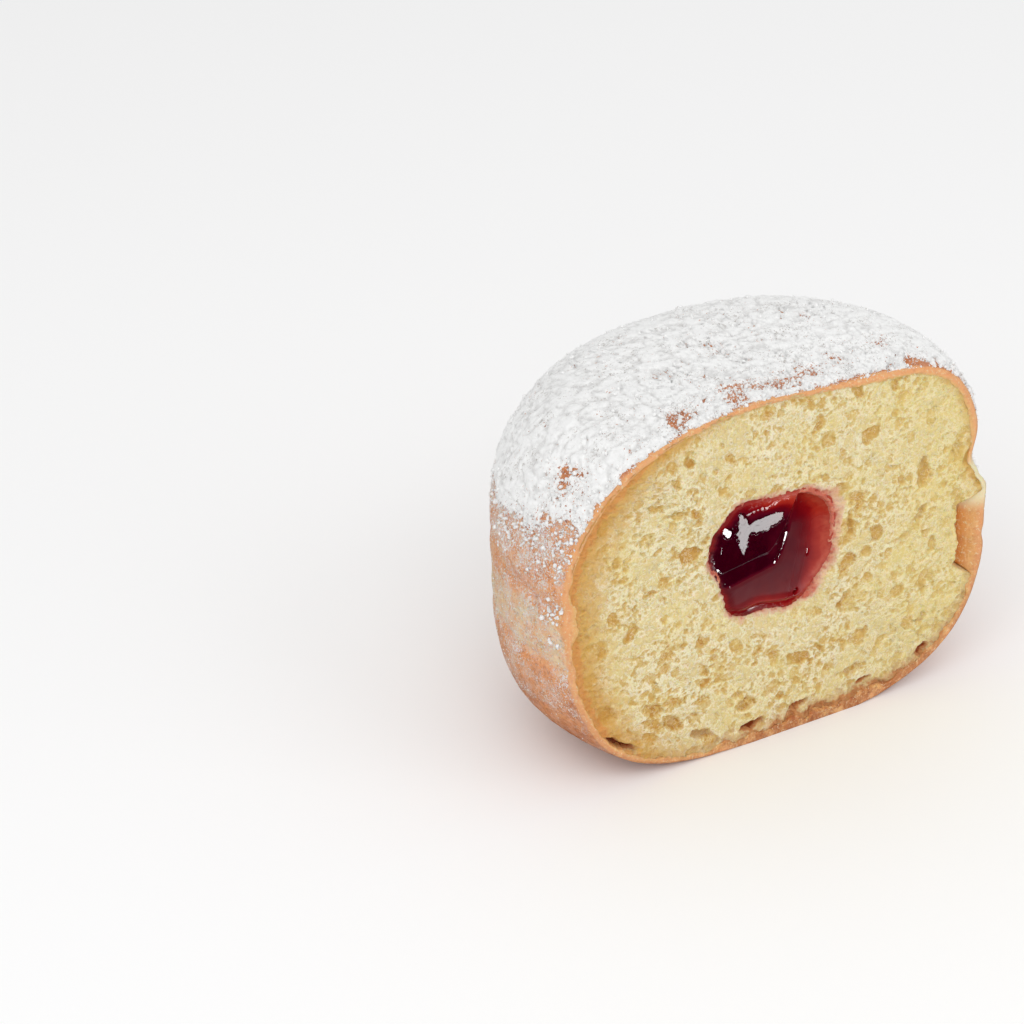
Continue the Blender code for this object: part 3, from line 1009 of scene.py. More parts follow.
@dataclass(frozen=True)
class Crust:
    """The fried crust: skin, rounded cut edge, and the bowl that holds the crumb.

    Attributes:
        form: the dough's form.
        face: the cut face.
        grid: grid of the skin.
        relief: source of random numbers.
        thickness: thickness behind the cut edge.
        bowl_rises: how far each ring of the bowl rises out of the cut, in degrees.
        edge_rings: number of rings across the cut edge.
        flat_share: share of the rings that lie on the flat part of the cut edge.
        dimple: place of the dimple at the left.
        dimple_radius: its radius.
        dimple_depth: its depth.
        browning: how much browner the skin gets between two heights, in millimetres.
        hazing: how much hazier it gets between two heights, in millimetres.
    """

    form: DoughForm
    face: CutFace
    grid: DiscGrid = DiscGrid(260, 260)
    relief: RandomField = RandomField(11)
    thickness: float = 1.5 * MM
    bowl_rises: tuple[float, ...] = (10.0, 22.0, 36.0, 52.0, 70.0)
    edge_rings: int = 18
    flat_share: float = 0.45
    dimple: tuple[float, float, float] = (-42.1 * MM, -2.5 * MM, 4.2 * MM)
    dimple_radius: float = 0.75 * MM
    dimple_depth: float = 1.1 * MM
    browning: tuple[Rise, ...] = (
        (0.26, 0.5, 4.5), (0.08, 10.0, 16.0), (0.22, 18.0, 28.0),
        (0.28, -4.5, -8.0), (0.18, -10.0, -17.0), (0.14, -17.0, -26.0),
    )
    hazing: tuple[Rise, ...] = (
        (0.14, 4.0, 12.0), (-0.45, 15.0, 22.0), (-0.10, -8.0, -24.0), (-0.18, -14.0, -26.0),
    )

    def fine_relief(self, points: Array) -> Array:
        """Unevenness of the skin: broad waves, small blisters, belt wrinkles and one dimple.

        Args:
            points: points of the plain skin.

        Returns:
            Height above it at each point.
        """
        waves = 0.22 * MM * self.relief.layered(points, 11.0 * MM, 3)
        blisters = 0.09 * MM * self.relief.layered(points + 0.3, 1.7 * MM, 3, 0.6)
        belt = bell(points[:, 2] + 1.5 * MM, 1.2 * self.form.belt_half_height)
        flat = points * np.array([1.0, 1.0, 3.0])
        wrinkles = 1.0 - np.abs(self.relief.layered(flat + 0.7, 5.0 * MM, 3, 0.55))
        cracks = -0.4 * MM * belt * step(wrinkles, 0.93, 1.0)
        hole = np.linalg.norm((points - np.array(self.dimple)) * np.array([1.0, 1.2, 0.7]), axis=1)
        return waves + blisters + cracks - self.dimple_depth * bell(hole, self.dimple_radius)

    def climb(self, height: Array, rises: tuple[Rise, ...]) -> Array:
        """Sum of smooth rises, each a share that is gained between two heights in millimetres."""
        return sum(share * step(height, low * MM, high * MM) for share, low, high in rises)

    def bake(self, points: Array) -> Array:
        """Browning: least on the pale belt, rising above and below it, with a wavy border."""
        wave = 1.6 * MM * self.relief.layered(points + 0.11, 9.0 * MM, 3)
        return 0.12 + self.climb(points[:, 2] + wave, self.browning)

    def dust(self, points: Array) -> Array:
        """How hazy with fine sugar the skin is: much above the belt, less towards the foot."""
        cloud = self.relief.layered(points + 0.5, 3.6 * MM, 4, 0.7)
        return np.clip(0.66 + self.climb(points[:, 2], self.hazing) + 0.45 * cloud, 0.0, 1.0)

    def skin(self, share: Array, angle: Array) -> Array:
        """Finished skin points, with relief and the rounded edge at the cut.

        Args:
            share: 1 at the cut and 0 at the back.
            angle: angle round the cut.

        Returns:
            The points.
        """
        plain = self.form.skin(share, angle)
        behind = plain[:, 1] - self.form.cut
        round_off = self.form.rim_round
        lost = np.clip(round_off - behind, 0.0, round_off)
        inset = round_off - np.sqrt(round_off**2 - lost**2)
        return self.form.skin(share, angle, inset - self.fine_relief(plain) * step(behind, 0.0, 1.0 * MM))

    def edge_profile(self, share: float, angle: Array) -> tuple[Array, Array]:
        """Inset and depth of the inner side of the cut edge.

        Where crust and crumb still hold together the profile runs flat across the crust's
        cut edge and then drops steeply; at the side gap it slopes back over the gap's width.

        Args:
            share: 0 at the rounded rim, 1 at the mouth of the bowl.
            angle: angles round the cut.

        Returns:
            Inset from the rim and depth behind the cut, for each angle.
        """
        start = self.form.rim_round
        width = np.maximum(self.face.crust_width(angle), start + 0.05 * MM)
        flat = min(share / self.flat_share, 1.0)
        drop = max((share - self.flat_share) / (1.0 - self.flat_share), 0.0)
        closed_inset = start + (width - start) * flat + 0.5 * MM * drop
        closed_depth = 0.05 * MM * flat + 4.5 * MM * drop**1.6
        gap_inset = start + (self.face.gap_width + 0.6 * MM - start) * share
        gap_depth = self.face.gap_depth * share**1.4 + 1.6 * MM * drop**3
        gap = self.face.side_gap(angle)
        return closed_inset * (1.0 - gap) + gap_inset * gap, closed_depth * (1.0 - gap) + gap_depth * gap

    def edge_points(self, share: float, angle: Array, rim: Array) -> Array:
        """Points of one ring of the cut edge, a little uneven.

        Args:
            share: 0 at the rounded rim, 1 at the mouth of the bowl.
            angle: angles round the cut.
            rim: radius of the rim at each angle.

        Returns:
            The points.
        """
        inset, depth = self.edge_profile(share, angle)
        points = around(rim - inset, angle, self.form.cut + depth)
        rough = self.relief.layered(points + 0.2, 1.1 * MM, 3)
        points[:, 1] += 0.16 * MM * rough * step(share, 0.0, 0.3)
        return points

    def build(self) -> bpy.types.Object:
        """Make the crust as one closed body.

        Returns:
            The piece.
        """
        draft = MeshDraft()
        form, face = self.form, self.face
        share, angle = self.grid.places()
        points = self.skin(share.ravel(), angle.ravel())
        behind = points[:, 1] - form.cut
        worn = 0.45 + 0.4 * self.relief.layered(points + 0.77, 2.0 * MM, 3, 0.6)
        upper = step(points[:, 2], 6.0 * MM, 16.0 * MM)
        band = 0.5 * MM + worn * (0.7 * MM + 1.2 * MM * upper) + 2.2 * MM * face.fold.share(angle.ravel())
        skin = draft.add(
            form.stand(points),
            bake=self.bake(points),
            dust=self.dust(points) * step(behind, 0.4 * band, 1.1 * band),
            cut=0.30 * (1.0 - step(behind, 0.5 * band, band)),
            foot=face.ledge.share(angle.ravel()),
            pale=face.pale(angle.ravel()) * (1.0 - step(behind, 1.0 * MM, 4.0 * MM)),
        ).reshape(share.shape)
        draft.grid(skin.T)
        loop, turn = self.grid.border(skin), self.grid.border(angle)
        rim = np.hypot(points[:, 0], points[:, 2])[loop] + form.rim_round
        values = {"bake": 0.5, "foot": face.ledge.share(turn), "pale": face.pale(turn)}
        for ring in range(1, self.edge_rings + 1):
            along = ring / self.edge_rings
            edge = form.stand(self.edge_points(along, turn, rim), 0.02 * MM)
            inner = draft.add(edge, cut=0.3 + 0.7 * along, gap=face.side_gap(turn) * along, **values)
            draft.ring(loop, inner)
            loop = inner
        inward = self.thickness
        walls = [form.stand(form.ring(rise, turn, inward), inward) for rise in self.bowl_rises]
        draft.close(loop, walls, form.stand(form.back(inward)), True, cut=1.0, **values)
        return draft.piece("crust", CrustFinish().material())


@dataclass(frozen=True)
class JellyShape:
    """The jelly's outline and place, shared by the jelly and by the crumb round it.

    Attributes:
        form: the dough's form.
        x: the jelly's middle along the cut.
        z: its height from the belt.
        radius: mean radius of the outline.
        depth: how far it reaches behind the cut.
        edge_recess: how far its edge lies behind the cut.
        hollow: how much farther its edge lies behind at the upper left, in millimetres.
        lobes: count, height in millimetres and first angle in degrees of each wave of the outline.
        waver: fine waver of the outline.
    """

    form: DoughForm
    x: float = -1.1 * MM
    z: float = 3.0 * MM
    radius: float = 11.3 * MM
    depth: float = 21.0 * MM
    edge_recess: float = 0.3 * MM
    hollow: Stretch = Stretch(160.0, 50.0, 0.8)
    lobes: tuple[tuple[int, float, float], ...] = (
        (1, 1.09, 128.0), (2, 0.35, 10.0), (3, 0.60, 27.0), (4, 0.48, 42.0),
        (5, 0.15, 9.0), (6, 0.28, -13.0), (7, 0.25, 23.0),
    )
    waver: RandomField = RandomField(71)

    def outline(self, angle: Array) -> Array:
        """Radius of the outline: the mean plus each lobe's height * cos(count * (angle - first)).

        Args:
            angle: angles round the jelly's middle.

        Returns:
            The radius at each angle.
        """
        total = np.full_like(angle, self.radius)
        for count, height, first in self.lobes:
            total += height * MM * np.cos(count * (angle - math.radians(first)))
        ring = around(self.radius, angle)[:, [0, 2, 1]]
        return total + 0.7 * MM * self.waver.layered(ring, 2.0 * MM, 4, 0.7)

    def recess(self, angle: Array) -> Array:
        """How far the edge lies behind the cut at each angle round the jelly's middle."""
        return self.edge_recess + MM * self.hollow.share(angle)

    def beyond(self, x: Array, z: Array) -> tuple[Array, Array]:
        """Distance outside the outline, negative inside it, and the angle round the jelly's middle."""
        angle = np.arctan2(z - self.z, x - self.x)
        return np.hypot(x - self.x, z - self.z) - self.outline(angle), angle


@dataclass(frozen=True)
class Slot:
    """A ragged opening in the crumb.

    Attributes:
        x: its middle along the cut.
        z: its middle's height from the belt.
        half_length: half its length.
        half_width: half its width.
        turn: the turn of its length from level, in radians.
        depth: its depth.
        toast: how brown it is, from 0, only amber, to 1; the darkest brown, above about 1.1, is partly
            painted shadow.
    """

    x: float
    z: float
    half_length: float
    half_width: float
    turn: float
    depth: float
    toast: float = 0.0

    def share(self, x: Array, z: Array) -> Array:
        """1 within the slot and 0 outside its oval, with a soft border between.

        Args:
            x: places along the cut.
            z: heights above the belt.

        Returns:
            The share at each place.
        """
        right, up = x - self.x * MM, z - self.z * MM
        along = right * math.cos(self.turn) + up * math.sin(self.turn)
        across = up * math.cos(self.turn) - right * math.sin(self.turn)
        oval = np.hypot(along / (self.half_length * MM), across / (self.half_width * MM))
        return 1.0 - step(oval, 0.5, 1.25)


@dataclass(frozen=True)
class Crumb:
    """The airy crumb, its cut face full of opened bubbles.

    Attributes:
        form: the dough's form.
        face: the cut face.
        jelly: the jelly's outline.
        grid: grid of the cut face.
        field: source of random numbers.
        wall_rises: how far each ring of the wall rises out of the cut, in degrees.
        wall_inset: least distance of the wall inside the skin.
        back_inset: distance of the last point inside the skin, and of the sole above the table.
        tuck: how far the crumb reaches under the crust's cut edge.
        even_inset: inset up to which the grid keeps an even outline.
        ragged_reach: how late, towards the border, the grid takes on its raggedness.
        bubbles: the sizes of bubble.
        slots: the larger openings.
    """

    form: DoughForm
    face: CutFace
    jelly: JellyShape
    grid: DiscGrid = DiscGrid(284, 284)
    field: RandomField = RandomField(23)
    wall_rises: tuple[float, ...] = (3.5, 8.0, 16.0, 28.0, 42.0, 60.0, 76.0)
    wall_inset: float = 1.55 * MM
    back_inset: float = 1.6 * MM
    tuck: float = 0.2 * MM
    even_inset: float = 2.0 * MM
    ragged_reach: float = 7.0
    bubbles: tuple[BubbleSize, ...] = (
        BubbleSize(7.5, 0.14, 0.26, 0.30, 1.9, 0.50, 0.6),
        BubbleSize(4.3, 0.18, 0.34, 0.42, 1.8, 0.38, 0.4),
        BubbleSize(2.6, 0.20, 0.40, 0.60, 1.7, 0.32, 0.2),
        BubbleSize(1.5, 0.24, 0.44, 0.75, 1.5, 0.26),
        BubbleSize(0.9, 0.25, 0.48, 0.85, 1.3, 0.20),
    )
    slots: tuple[Slot, ...] = (
        Slot(-33.4, -16.7, 2.2, 1.7, -1.0, 1.0, 0.12), Slot(-31.2, -23.3, 3.6, 0.75, -0.62, 1.9, 1.4),
        Slot(-25.0, -18.4, 2.3, 1.1, -0.55, 1.0, 0.1), Slot(-21.6, -22.2, 2.6, 1.3, -0.75, 1.3, 0.3),
        Slot(-17.3, -22.7, 2.0, 1.1, -0.2, 0.9, 0.1), Slot(-16.0, -26.5, 2.4, 0.9, -0.3, 1.2, 0.5),
        Slot(-7.3, -23.7, 2.1, 1.4, 0.2, 1.0, 0.1), Slot(-6.2, -28.2, 2.4, 0.8, 0.15, 1.4, 1.3),
        Slot(3.0, -27.2, 1.8, 0.6, 0.1, 1.0, 0.9), Slot(13.0, -23.9, 3.6, 1.0, 0.2, 0.9, 0.15),
        Slot(15.5, -26.8, 1.6, 0.5, 0.25, 1.0, 0.9), Slot(27.3, -24.6, 1.4, 0.7, 1.1, 1.1, 0.9),
        Slot(26.8, -18.4, 1.0, 0.8, 1.2, 1.0, 0.35), Slot(26.7, 10.0, 3.0, 1.2, 1.45, 1.1, 0.25),
        Slot(26.3, 1.8, 2.2, 0.7, 1.2, 1.1, 0.3), Slot(23.4, -1.7, 1.4, 1.0, 0.9, 1.0, 0.3),
        Slot(12.8, 4.4, 2.6, 0.7, 1.75, 1.0), Slot(11.6, -10.2, 1.9, 1.5, 0.7, 0.7),
        Slot(2.0, -17.6, 2.2, 1.1, -0.5, 0.8), Slot(-11.1, 18.8, 1.9, 1.2, 0.7, 0.8, 0.1),
        Slot(-19.8, 16.1, 1.8, 0.9, -0.3, 0.7, 0.1), Slot(-23.9, 19.0, 1.5, 1.0, 0.4, 0.6, 0.1),
        Slot(-14.6, 10.0, 1.0, 0.9, 0.0, 0.8, 0.3), Slot(-25.4, 3.5, 1.3, 0.9, 0.0, 0.7, 0.25),
        Slot(33.5, 12.0, 2.8, 0.9, 1.5, 1.1, 0.1),
    )

    def border(self, angle: Array) -> Array:
        """Radius of the crumb's ragged border, just inside the crust or at the gap's far side.

        Args:
            angle: angles round the cut.

        Returns:
            The radius at each angle.
        """
        gap = self.face.side_gap(angle)
        ragged = self.face.round_rim(angle + 0.37, 2.6 * MM, 4)
        tuck = self.tuck - self.face.ledge.share(angle) * (0.1 * MM + 0.7 * MM * ragged)
        closed = self.face.crust_width(angle) - tuck
        open_side = self.face.gap_width + 1.3 * MM * ragged
        return self.form.rim_radius(angle) - (closed * (1.0 - gap) + open_side * gap)

    def bubble_depth(self, at: Places) -> Array:
        """Depth of the opened bubbles, their outlines bent by noise, drawn out upwards at the right.

        Args:
            at: places on the cut face.

        Returns:
            The depth at each place.
        """
        bent_x = at.x + 0.9 * MM * self.field.layered(at.flat + 0.41, 2.2 * MM, 4, 0.65)
        bent_z = at.z + 0.9 * MM * self.field.layered(at.flat + 0.83, 2.2 * MM, 4, 0.65)
        upright = step(at.x, 12.0 * MM, 32.0 * MM)
        total = np.zeros_like(at.x)
        for number, size in enumerate(self.bubbles):
            turn = 0.9 * number
            turned_x = bent_x * math.cos(turn) - bent_z * math.sin(turn)
            turned_z = bent_x * math.sin(turn) + bent_z * math.cos(turn)
            depth = size.depth(turned_x, turned_z, upright * (number == 0), RandomField(300 + 17 * number))
            total = np.maximum(total, depth) + 0.3 * np.minimum(total, depth)
        return total

    def openings(self, at: Places, ragged: Array) -> tuple[Array, Array]:
        """Depth and brownness of the larger openings, with ragged outlines.

        Args:
            at: places on the cut face.
            ragged: noise that bends the outlines.

        Returns:
            Depth and brownness at each place.
        """
        depth, toast = np.zeros_like(at.x), np.zeros_like(at.x)
        for slot in self.slots:
            share = slot.share(at.x + 0.8 * MM * ragged, at.z + 0.6 * MM * np.roll(ragged, 7))
            depth = np.maximum(depth, (0.6 + 0.4 * slot.toast) * slot.depth * MM * share)
            toast = np.maximum(toast, slot.toast * share)
        return depth, toast

    def values(
        self, at: Places, bubbles: Array, opened: tuple[Array, Array], beyond: tuple[Array, Array]
    ) -> dict[str, Array]:
        """Point values that the finish reads.

        Args:
            at: the places.
            bubbles: depth of the opened bubbles.
            opened: depth and brownness of the larger openings.
            beyond: distance outside the jelly's outline and angle round its middle.

        Returns:
            Named values, one for each place.
        """
        gap, ledge = self.face.side_gap(at.angle), self.face.ledge.share(at.angle)
        rim_inset = at.inset + self.face.crust_width(at.angle)
        left, right = 1.0 - step(at.x, -36.0 * MM, -4.0 * MM), step(at.x, 24.0 * MM, 36.0 * MM)
        edge = left * (0.42 * bell(rim_inset, 13.0 * MM) + 0.45 * bell(rim_inset, 5.5 * MM))
        edge += 0.5 * bell(rim_inset, 2.0 * MM) + 0.35 * right * (1.0 - gap) * bell(rim_inset, 5.0 * MM)
        toast = 0.75 * ledge * bell(at.inset, 1.6 * MM) + 0.38 * ledge * bell(at.inset, 5.5 * MM)
        toast += opened[1] + gap * 0.5 * bell(at.inset, 0.4 * MM)
        reach = 1.6 * MM + 1.6 * MM * (0.5 + 0.5 * np.cos(beyond[1] - math.radians(10.0)))
        waver = 1.8 * MM * self.field.layered(at.flat + 0.35, 2.5 * MM, 4, 0.6)
        patches = 0.65 * self.field.layered(at.flat + 0.7, 4.5 * MM, 4, 0.65)
        return {
            # Bubble depth with random patches, by which the crumb finish paints shade in the bubbles.
            "pore": np.clip(bubbles / (0.62 * MM) + patches + 0.9 * opened[0] / MM, -0.3, 1.0),
            "edge": edge,
            "toast": np.clip(toast, 0.0, 1.5),
            "stain": 1.0 - step(beyond[0] + waver, -0.6 * MM, reach),
            "yellow": step(at.x, 6.0 * MM, 34.0 * MM),
        }

    def build(self) -> bpy.types.Object:
        """Make the crumb as one closed body that fills the crust's bowl.

        Returns:
            The piece.
        """
        draft = MeshDraft()
        form, field = self.form, self.field
        share, angle = self.grid.places()
        near = share.ravel()
        border = self.border(angle.ravel())
        even = form.rim_radius(angle.ravel()) - self.even_inset
        radius = near * (even + (border - even) * near**self.ragged_reach)
        at = Places.within(border, radius, angle.ravel())
        bubbles = self.bubble_depth(at)
        fibres = 0.15 * MM * field.layered(at.flat + 0.5, 0.8 * MM, 3, 0.7)
        waves = 0.35 * MM * field.layered(at.flat + 0.1, 9.0 * MM, 2)
        swell = -0.45 * MM * (1.0 - bell(even - radius + 1.0 * MM, 0.3 * form.mean_radius))
        ragged = field.layered(at.flat + 0.9, 2.2 * MM, 4, 0.65)
        torn = self.face.ledge.share(at.angle) * bell(at.inset, 2.5 * MM) * (0.2 * MM + 0.9 * MM * ragged)
        rolled = self.face.side_gap(at.angle) * 1.6 * MM * bell(at.inset, 0.45 * MM)
        opened = self.openings(at, ragged)
        outside, round_jelly = beyond = self.jelly.beyond(at.x, at.z)
        lip = self.jelly.recess(round_jelly) * (1.0 - step(outside, 0.0, 1.4 * MM))
        lip = lip + 3.4 * MM * (1.0 - step(outside, -1.9 * MM, -0.5 * MM))
        keep = step(at.inset, 0.0, 0.7 * MM) * step(outside, -0.6 * MM, 0.8 * MM)
        swell = swell * step(outside, -1.0 * MM, 5.0 * MM)
        depth = bubbles * (0.15 + 0.85 * keep) + fibres + waves * keep + swell
        depth = depth + np.maximum(torn, 0.0) + rolled + opened[0] + lip + 0.08 * MM
        points = form.stand(around(radius, at.angle, form.cut + depth), 0.9 * MM)
        front = draft.add(points, **self.values(at, bubbles, opened, beyond)).reshape(share.shape)
        draft.grid(front)
        turn = self.grid.border(angle)
        extra = form.rim_radius(turn) - self.border(turn)
        walls = []
        for number, rise in enumerate(self.wall_rises):
            fade = 1.0 - number / (len(self.wall_rises) - 1)
            wall = form.ring(rise, turn, np.maximum(extra * fade, self.wall_inset))
            walls.append(form.stand(wall, self.back_inset))
        tip = form.stand(form.back(self.back_inset))
        draft.close(self.grid.border(front), walls, tip, False, pore=0.5, edge=0.8, toast=0.5)
        return draft.piece("crumb", CrumbFinish().material())


@dataclass(frozen=True)
class Stroke:
    """A tapered stroke on the jelly's front, in millimetres right of and above its middle.

    Attributes:
        start: its first end.
        end: its other end.
        widths: half its width at either end.
    """

    start: tuple[float, float]
    end: tuple[float, float]
    widths: tuple[float, float]

    def outside(self, u: Array, v: Array) -> Array:
        """Distance from the nearest point of the stroke's line, less its width: negative inside.

        Args:
            u: places to the right of the jelly's middle.
            v: places above it.

        Returns:
            The distance for each place.
        """
        (from_u, from_v), (to_u, to_v), (wide, to_wide) = MM * np.array([self.start, self.end, self.widths])
        run_u, run_v = to_u - from_u, to_v - from_v
        along = ((u - from_u) * run_u + (v - from_v) * run_v) / (run_u**2 + run_v**2)
        along = np.clip(along, 0.0, 1.0)
        gap = np.hypot(u - from_u - along * run_u, v - from_v - along * run_v)
        return gap - wide - along * (to_wide - wide)


@dataclass(frozen=True)
class Jelly:
    """The filling: a smooth cut lobe in front and a deeper, glossy hollow above it.

    Attributes:
        shape: the jelly's outline and place.
        grid: grid of the front.
        field: source of random numbers.
        overlap: how far the body reaches into the crumb round it.
        back_rises: how far each ring of the back rises out of the front, in degrees.
        flats: the flat strokes in the hollow.
        flat_depth: their depth behind the cut.
        facets: the small bright facets.
        facet_depth: their depth behind the cut.
        facet_lean: how much deeper they get towards the right.
        fold_start: place to the right of which the fold curves up.
        fold_height: its height there.
        fold_slope: its slope there.
        fold_curve: its curve from there on.
        fold_width: width of the fold between the lobes.
        lobe_middle: the cut lobe's middle.
        lobe_depth: its depth there.
        lobe_curves: its radii of curvature to the right and upwards.
        lobe_lean: how much deeper it gets upwards.
        sheen_half_width: half the width of the softly shining band.
        sheen_slope: the band's slope.
    """

    shape: JellyShape
    grid: DiscGrid = DiscGrid(270, 270)
    field: RandomField = RandomField(47)
    overlap: float = 0.45 * MM
    back_rises: tuple[float, ...] = (4.0, 12.0, 24.0, 38.0, 54.0, 72.0)
    flats: tuple[Stroke, ...] = (
        Stroke((-6.5, 9.1), (-5.9, 5.6), (0.55, 1.55)), Stroke((-5.9, 5.6), (-6.0, 1.9), (1.55, 0.50)),
        Stroke((-5.0, 6.0), (-1.6, 6.0), (1.00, 1.50)), Stroke((-1.6, 6.0), (0.9, 6.5), (1.50, 0.95)),
    )
    flat_depth: float = 1.0 * MM
    facets: tuple[Stroke, ...] = (
        Stroke((2.0, 3.1), (1.4, 1.3), (0.34, 0.26)), Stroke((1.4, 1.3), (0.9, 0.1), (0.26, 0.13)),
        Stroke((0.7, -0.4), (0.4, -1.0), (0.16, 0.20)), Stroke((-0.2, -1.6), (-0.4, -1.8), (0.24, 0.20)),
        Stroke((-9.6, 7.1), (-8.9, 6.3), (0.62, 0.80)), Stroke((-10.2, 4.0), (-10.3, 3.0), (0.20, 0.16)),
        Stroke((6.0, -1.3), (5.8, -2.1), (0.15, 0.12)), Stroke((2.9, -8.0), (3.3, -7.6), (0.24, 0.20)),
    )
    facet_depth: float = 0.80 * MM
    facet_lean: float = 0.123
    fold_start: float = -1.0 * MM
    fold_height: float = -2.4 * MM
    fold_slope: float = 0.14
    fold_curve: float = 240.0
    fold_width: float = 2.9 * MM
    lobe_middle: tuple[float, float] = (1.6 * MM, -3.0 * MM)
    lobe_depth: float = 0.50 * MM
    lobe_curves: tuple[float, float] = (-160.0 * MM, 45.0 * MM)
    lobe_lean: float = 0.17
    sheen_half_width: float = 2.2 * MM
    sheen_slope: float = 2.6

    def above_fold(self, u: Array, v: Array) -> Array:
        """Distance above the fold between the two lobes, which runs up to the right as a parabola."""
        along = u - self.fold_start
        right = np.maximum(along, 0.0)
        line = self.fold_height + self.fold_slope * along + self.fold_curve * right**2
        slope = self.fold_slope + 2.0 * self.fold_curve * right
        return (v - line) / np.sqrt(1.0 + slope**2)

    def lip_line(self, u: Array, v: Array) -> Array:
        """Height above the lip that runs along the bottom, arched at its left."""
        return v + 8.1 * MM - 0.5 * MM * bell(u + 4.0 * MM, 2.6 * MM) + 0.10 * u

    def lobe(self, u: Array, v: Array) -> Array:
        """Depth of the cut lobe: a dome d ** 2 / (2 R) with its own curve each way, that leans back."""
        right, up = u - self.lobe_middle[0], v - self.lobe_middle[1]
        curve_right, curve_up = self.lobe_curves
        dome = right**2 / (2.0 * curve_right) + up**2 / (2.0 * curve_up)
        return self.lobe_depth + dome + self.lobe_lean * up

    def sheen(self, u: Array, v: Array) -> Array:
        """1 along the band of the cut lobe that shines softly, which runs up to the right, 0 off it."""
        across = (v + 1.0 * MM - self.sheen_slope * (u - 5.0 * MM)) / math.hypot(1.0, self.sheen_slope)
        return bell(across, self.sheen_half_width)

    def hollow(self, at: Places) -> Array:
        """Depth of the hollow above the fold: it leans forward, except in its flat strokes.

        Args:
            at: places on the jelly's front.

        Returns:
            Depth for each place.
        """
        plain = 1.25 * MM - 0.13 * (at.z - 3.0 * MM) + 0.03 * at.x
        plain = plain + 0.07 * MM * self.field.layered(at.flat, 4.0 * MM, 2)
        ragged = 0.55 * MM * self.field.layered(at.flat + 0.6, 0.9 * MM, 4, 0.8)
        outside = np.min([stroke.outside(at.x, at.z) for stroke in self.flats], axis=0) + ragged
        return plain + (self.flat_depth - plain) * (1.0 - step(outside, -0.12 * MM, 0.14 * MM))

    def front_depth(self, at: Places) -> Array:
        """Depth of the front behind the cut: lobe, hollow, the bottom's lip and the beaded border.

        Args:
            at: places on the jelly's front.

        Returns:
            Depth for each place.
        """
        u, v, flat = at.x, at.z, at.flat
        fold = np.clip((self.above_fold(u, v) + 0.5 * MM) / self.fold_width, 0.0, 1.0)
        upper = np.clip((v - 0.3 * u + 0.5 * MM) / (5.0 * MM), 0.0, 1.0) * step(-u, -5.0 * MM, -2.0 * MM)
        lobe = self.lobe(u, v) + 0.05 * MM * self.field.layered(flat + 0.3, 3.0 * MM, 2)
        inner = lobe + (self.hollow(at) - lobe) * np.maximum(fold, upper) ** 1.5
        line = self.lip_line(u, v)
        inner -= 0.45 * MM * bell(line, 0.45 * MM) * bell(u + 2.5 * MM, 5.5 * MM)
        inner += 0.5 * MM * step(-line, 0.2 * MM, 1.2 * MM) * bell(u + 3.0 * MM, 4.5 * MM)
        edge = bell(at.inset, 1.1 * MM + 0.9 * MM * step(np.cos(at.angle - math.radians(60.0)), -0.2, 0.8))
        depth = inner + (self.shape.recess(at.angle) - inner) * edge
        beads = 0.16 * MM * self.field.layered(flat + 0.8, 0.8 * MM, 3, 0.6)
        depth -= beads * bell(at.inset - 0.5 * MM, 0.8 * MM)
        chipped = 0.12 * MM * self.field.layered(flat + 0.4, 0.5 * MM, 3, 0.7)
        for facet in self.facets:
            share = 1.0 - step(facet.outside(u, v) + chipped, -0.06 * MM, 0.12 * MM)
            level = self.facet_depth + self.facet_lean * (u - facet.end[0] * MM)
            depth += (level - depth) * share
        return depth + 1.2 * MM * bell(at.inset, 0.22 * MM)

    def clearness(self, at: Places) -> Array:
        """How thin the jelly looks: 0 in the hollow, about 0.4 on the cut lobe, 1 at the border.

        Args:
            at: places on the jelly's front.

        Returns:
            Clearness for each place.
        """
        u, v = at.x, at.z
        soft = 1.8 * MM * step(v, 2.0 * MM, 7.0 * MM)
        hollow = step(self.above_fold(u, v), -0.1 * MM - soft, 0.7 * MM + soft)
        upper = step(v - 8.0 * MM - 0.12 * u, -0.8 * MM, 2.2 * MM) * step(u, -7.5 * MM, -4.0 * MM)
        right = step(u + 0.35 * v, 2.4 * MM, 9.0 * MM)
        middle = 0.12 * bell(np.hypot(u - 0.3 * MM, (v - 1.6 * MM) / 2.0), 1.6 * MM)
        dark = middle + 0.45 * upper + 0.42 * right * (1.0 - 0.6 * upper)
        cut_lobe = 0.28 + 0.16 * step(-v, 2.0 * MM, 8.0 * MM) + 0.2 * step(u - 0.12 * v, 4.2 * MM, 8.0 * MM)
        clear = cut_lobe + (dark - cut_lobe) * hollow
        clear += 0.3 * bell(self.lip_line(u, v) + 0.2 * MM, 0.9 * MM) * bell(u + 2.5 * MM, 5.0 * MM)
        waver = 0.6 * MM * self.field.layered(at.flat + 0.2, 1.8 * MM, 3, 0.6)
        facing = np.cos(at.angle - math.radians(20.0))
        reach = 0.6 * MM + 2.7 * MM * (0.5 + 0.5 * facing) ** 1.5
        border = bell(np.maximum(at.inset - 0.4 * reach + waver, 0.0), reach)
        palest = 0.66 + 0.24 * step(facing, -0.6, 0.6)
        return np.clip(clear + (palest - clear) * border, 0.0, 1.0)

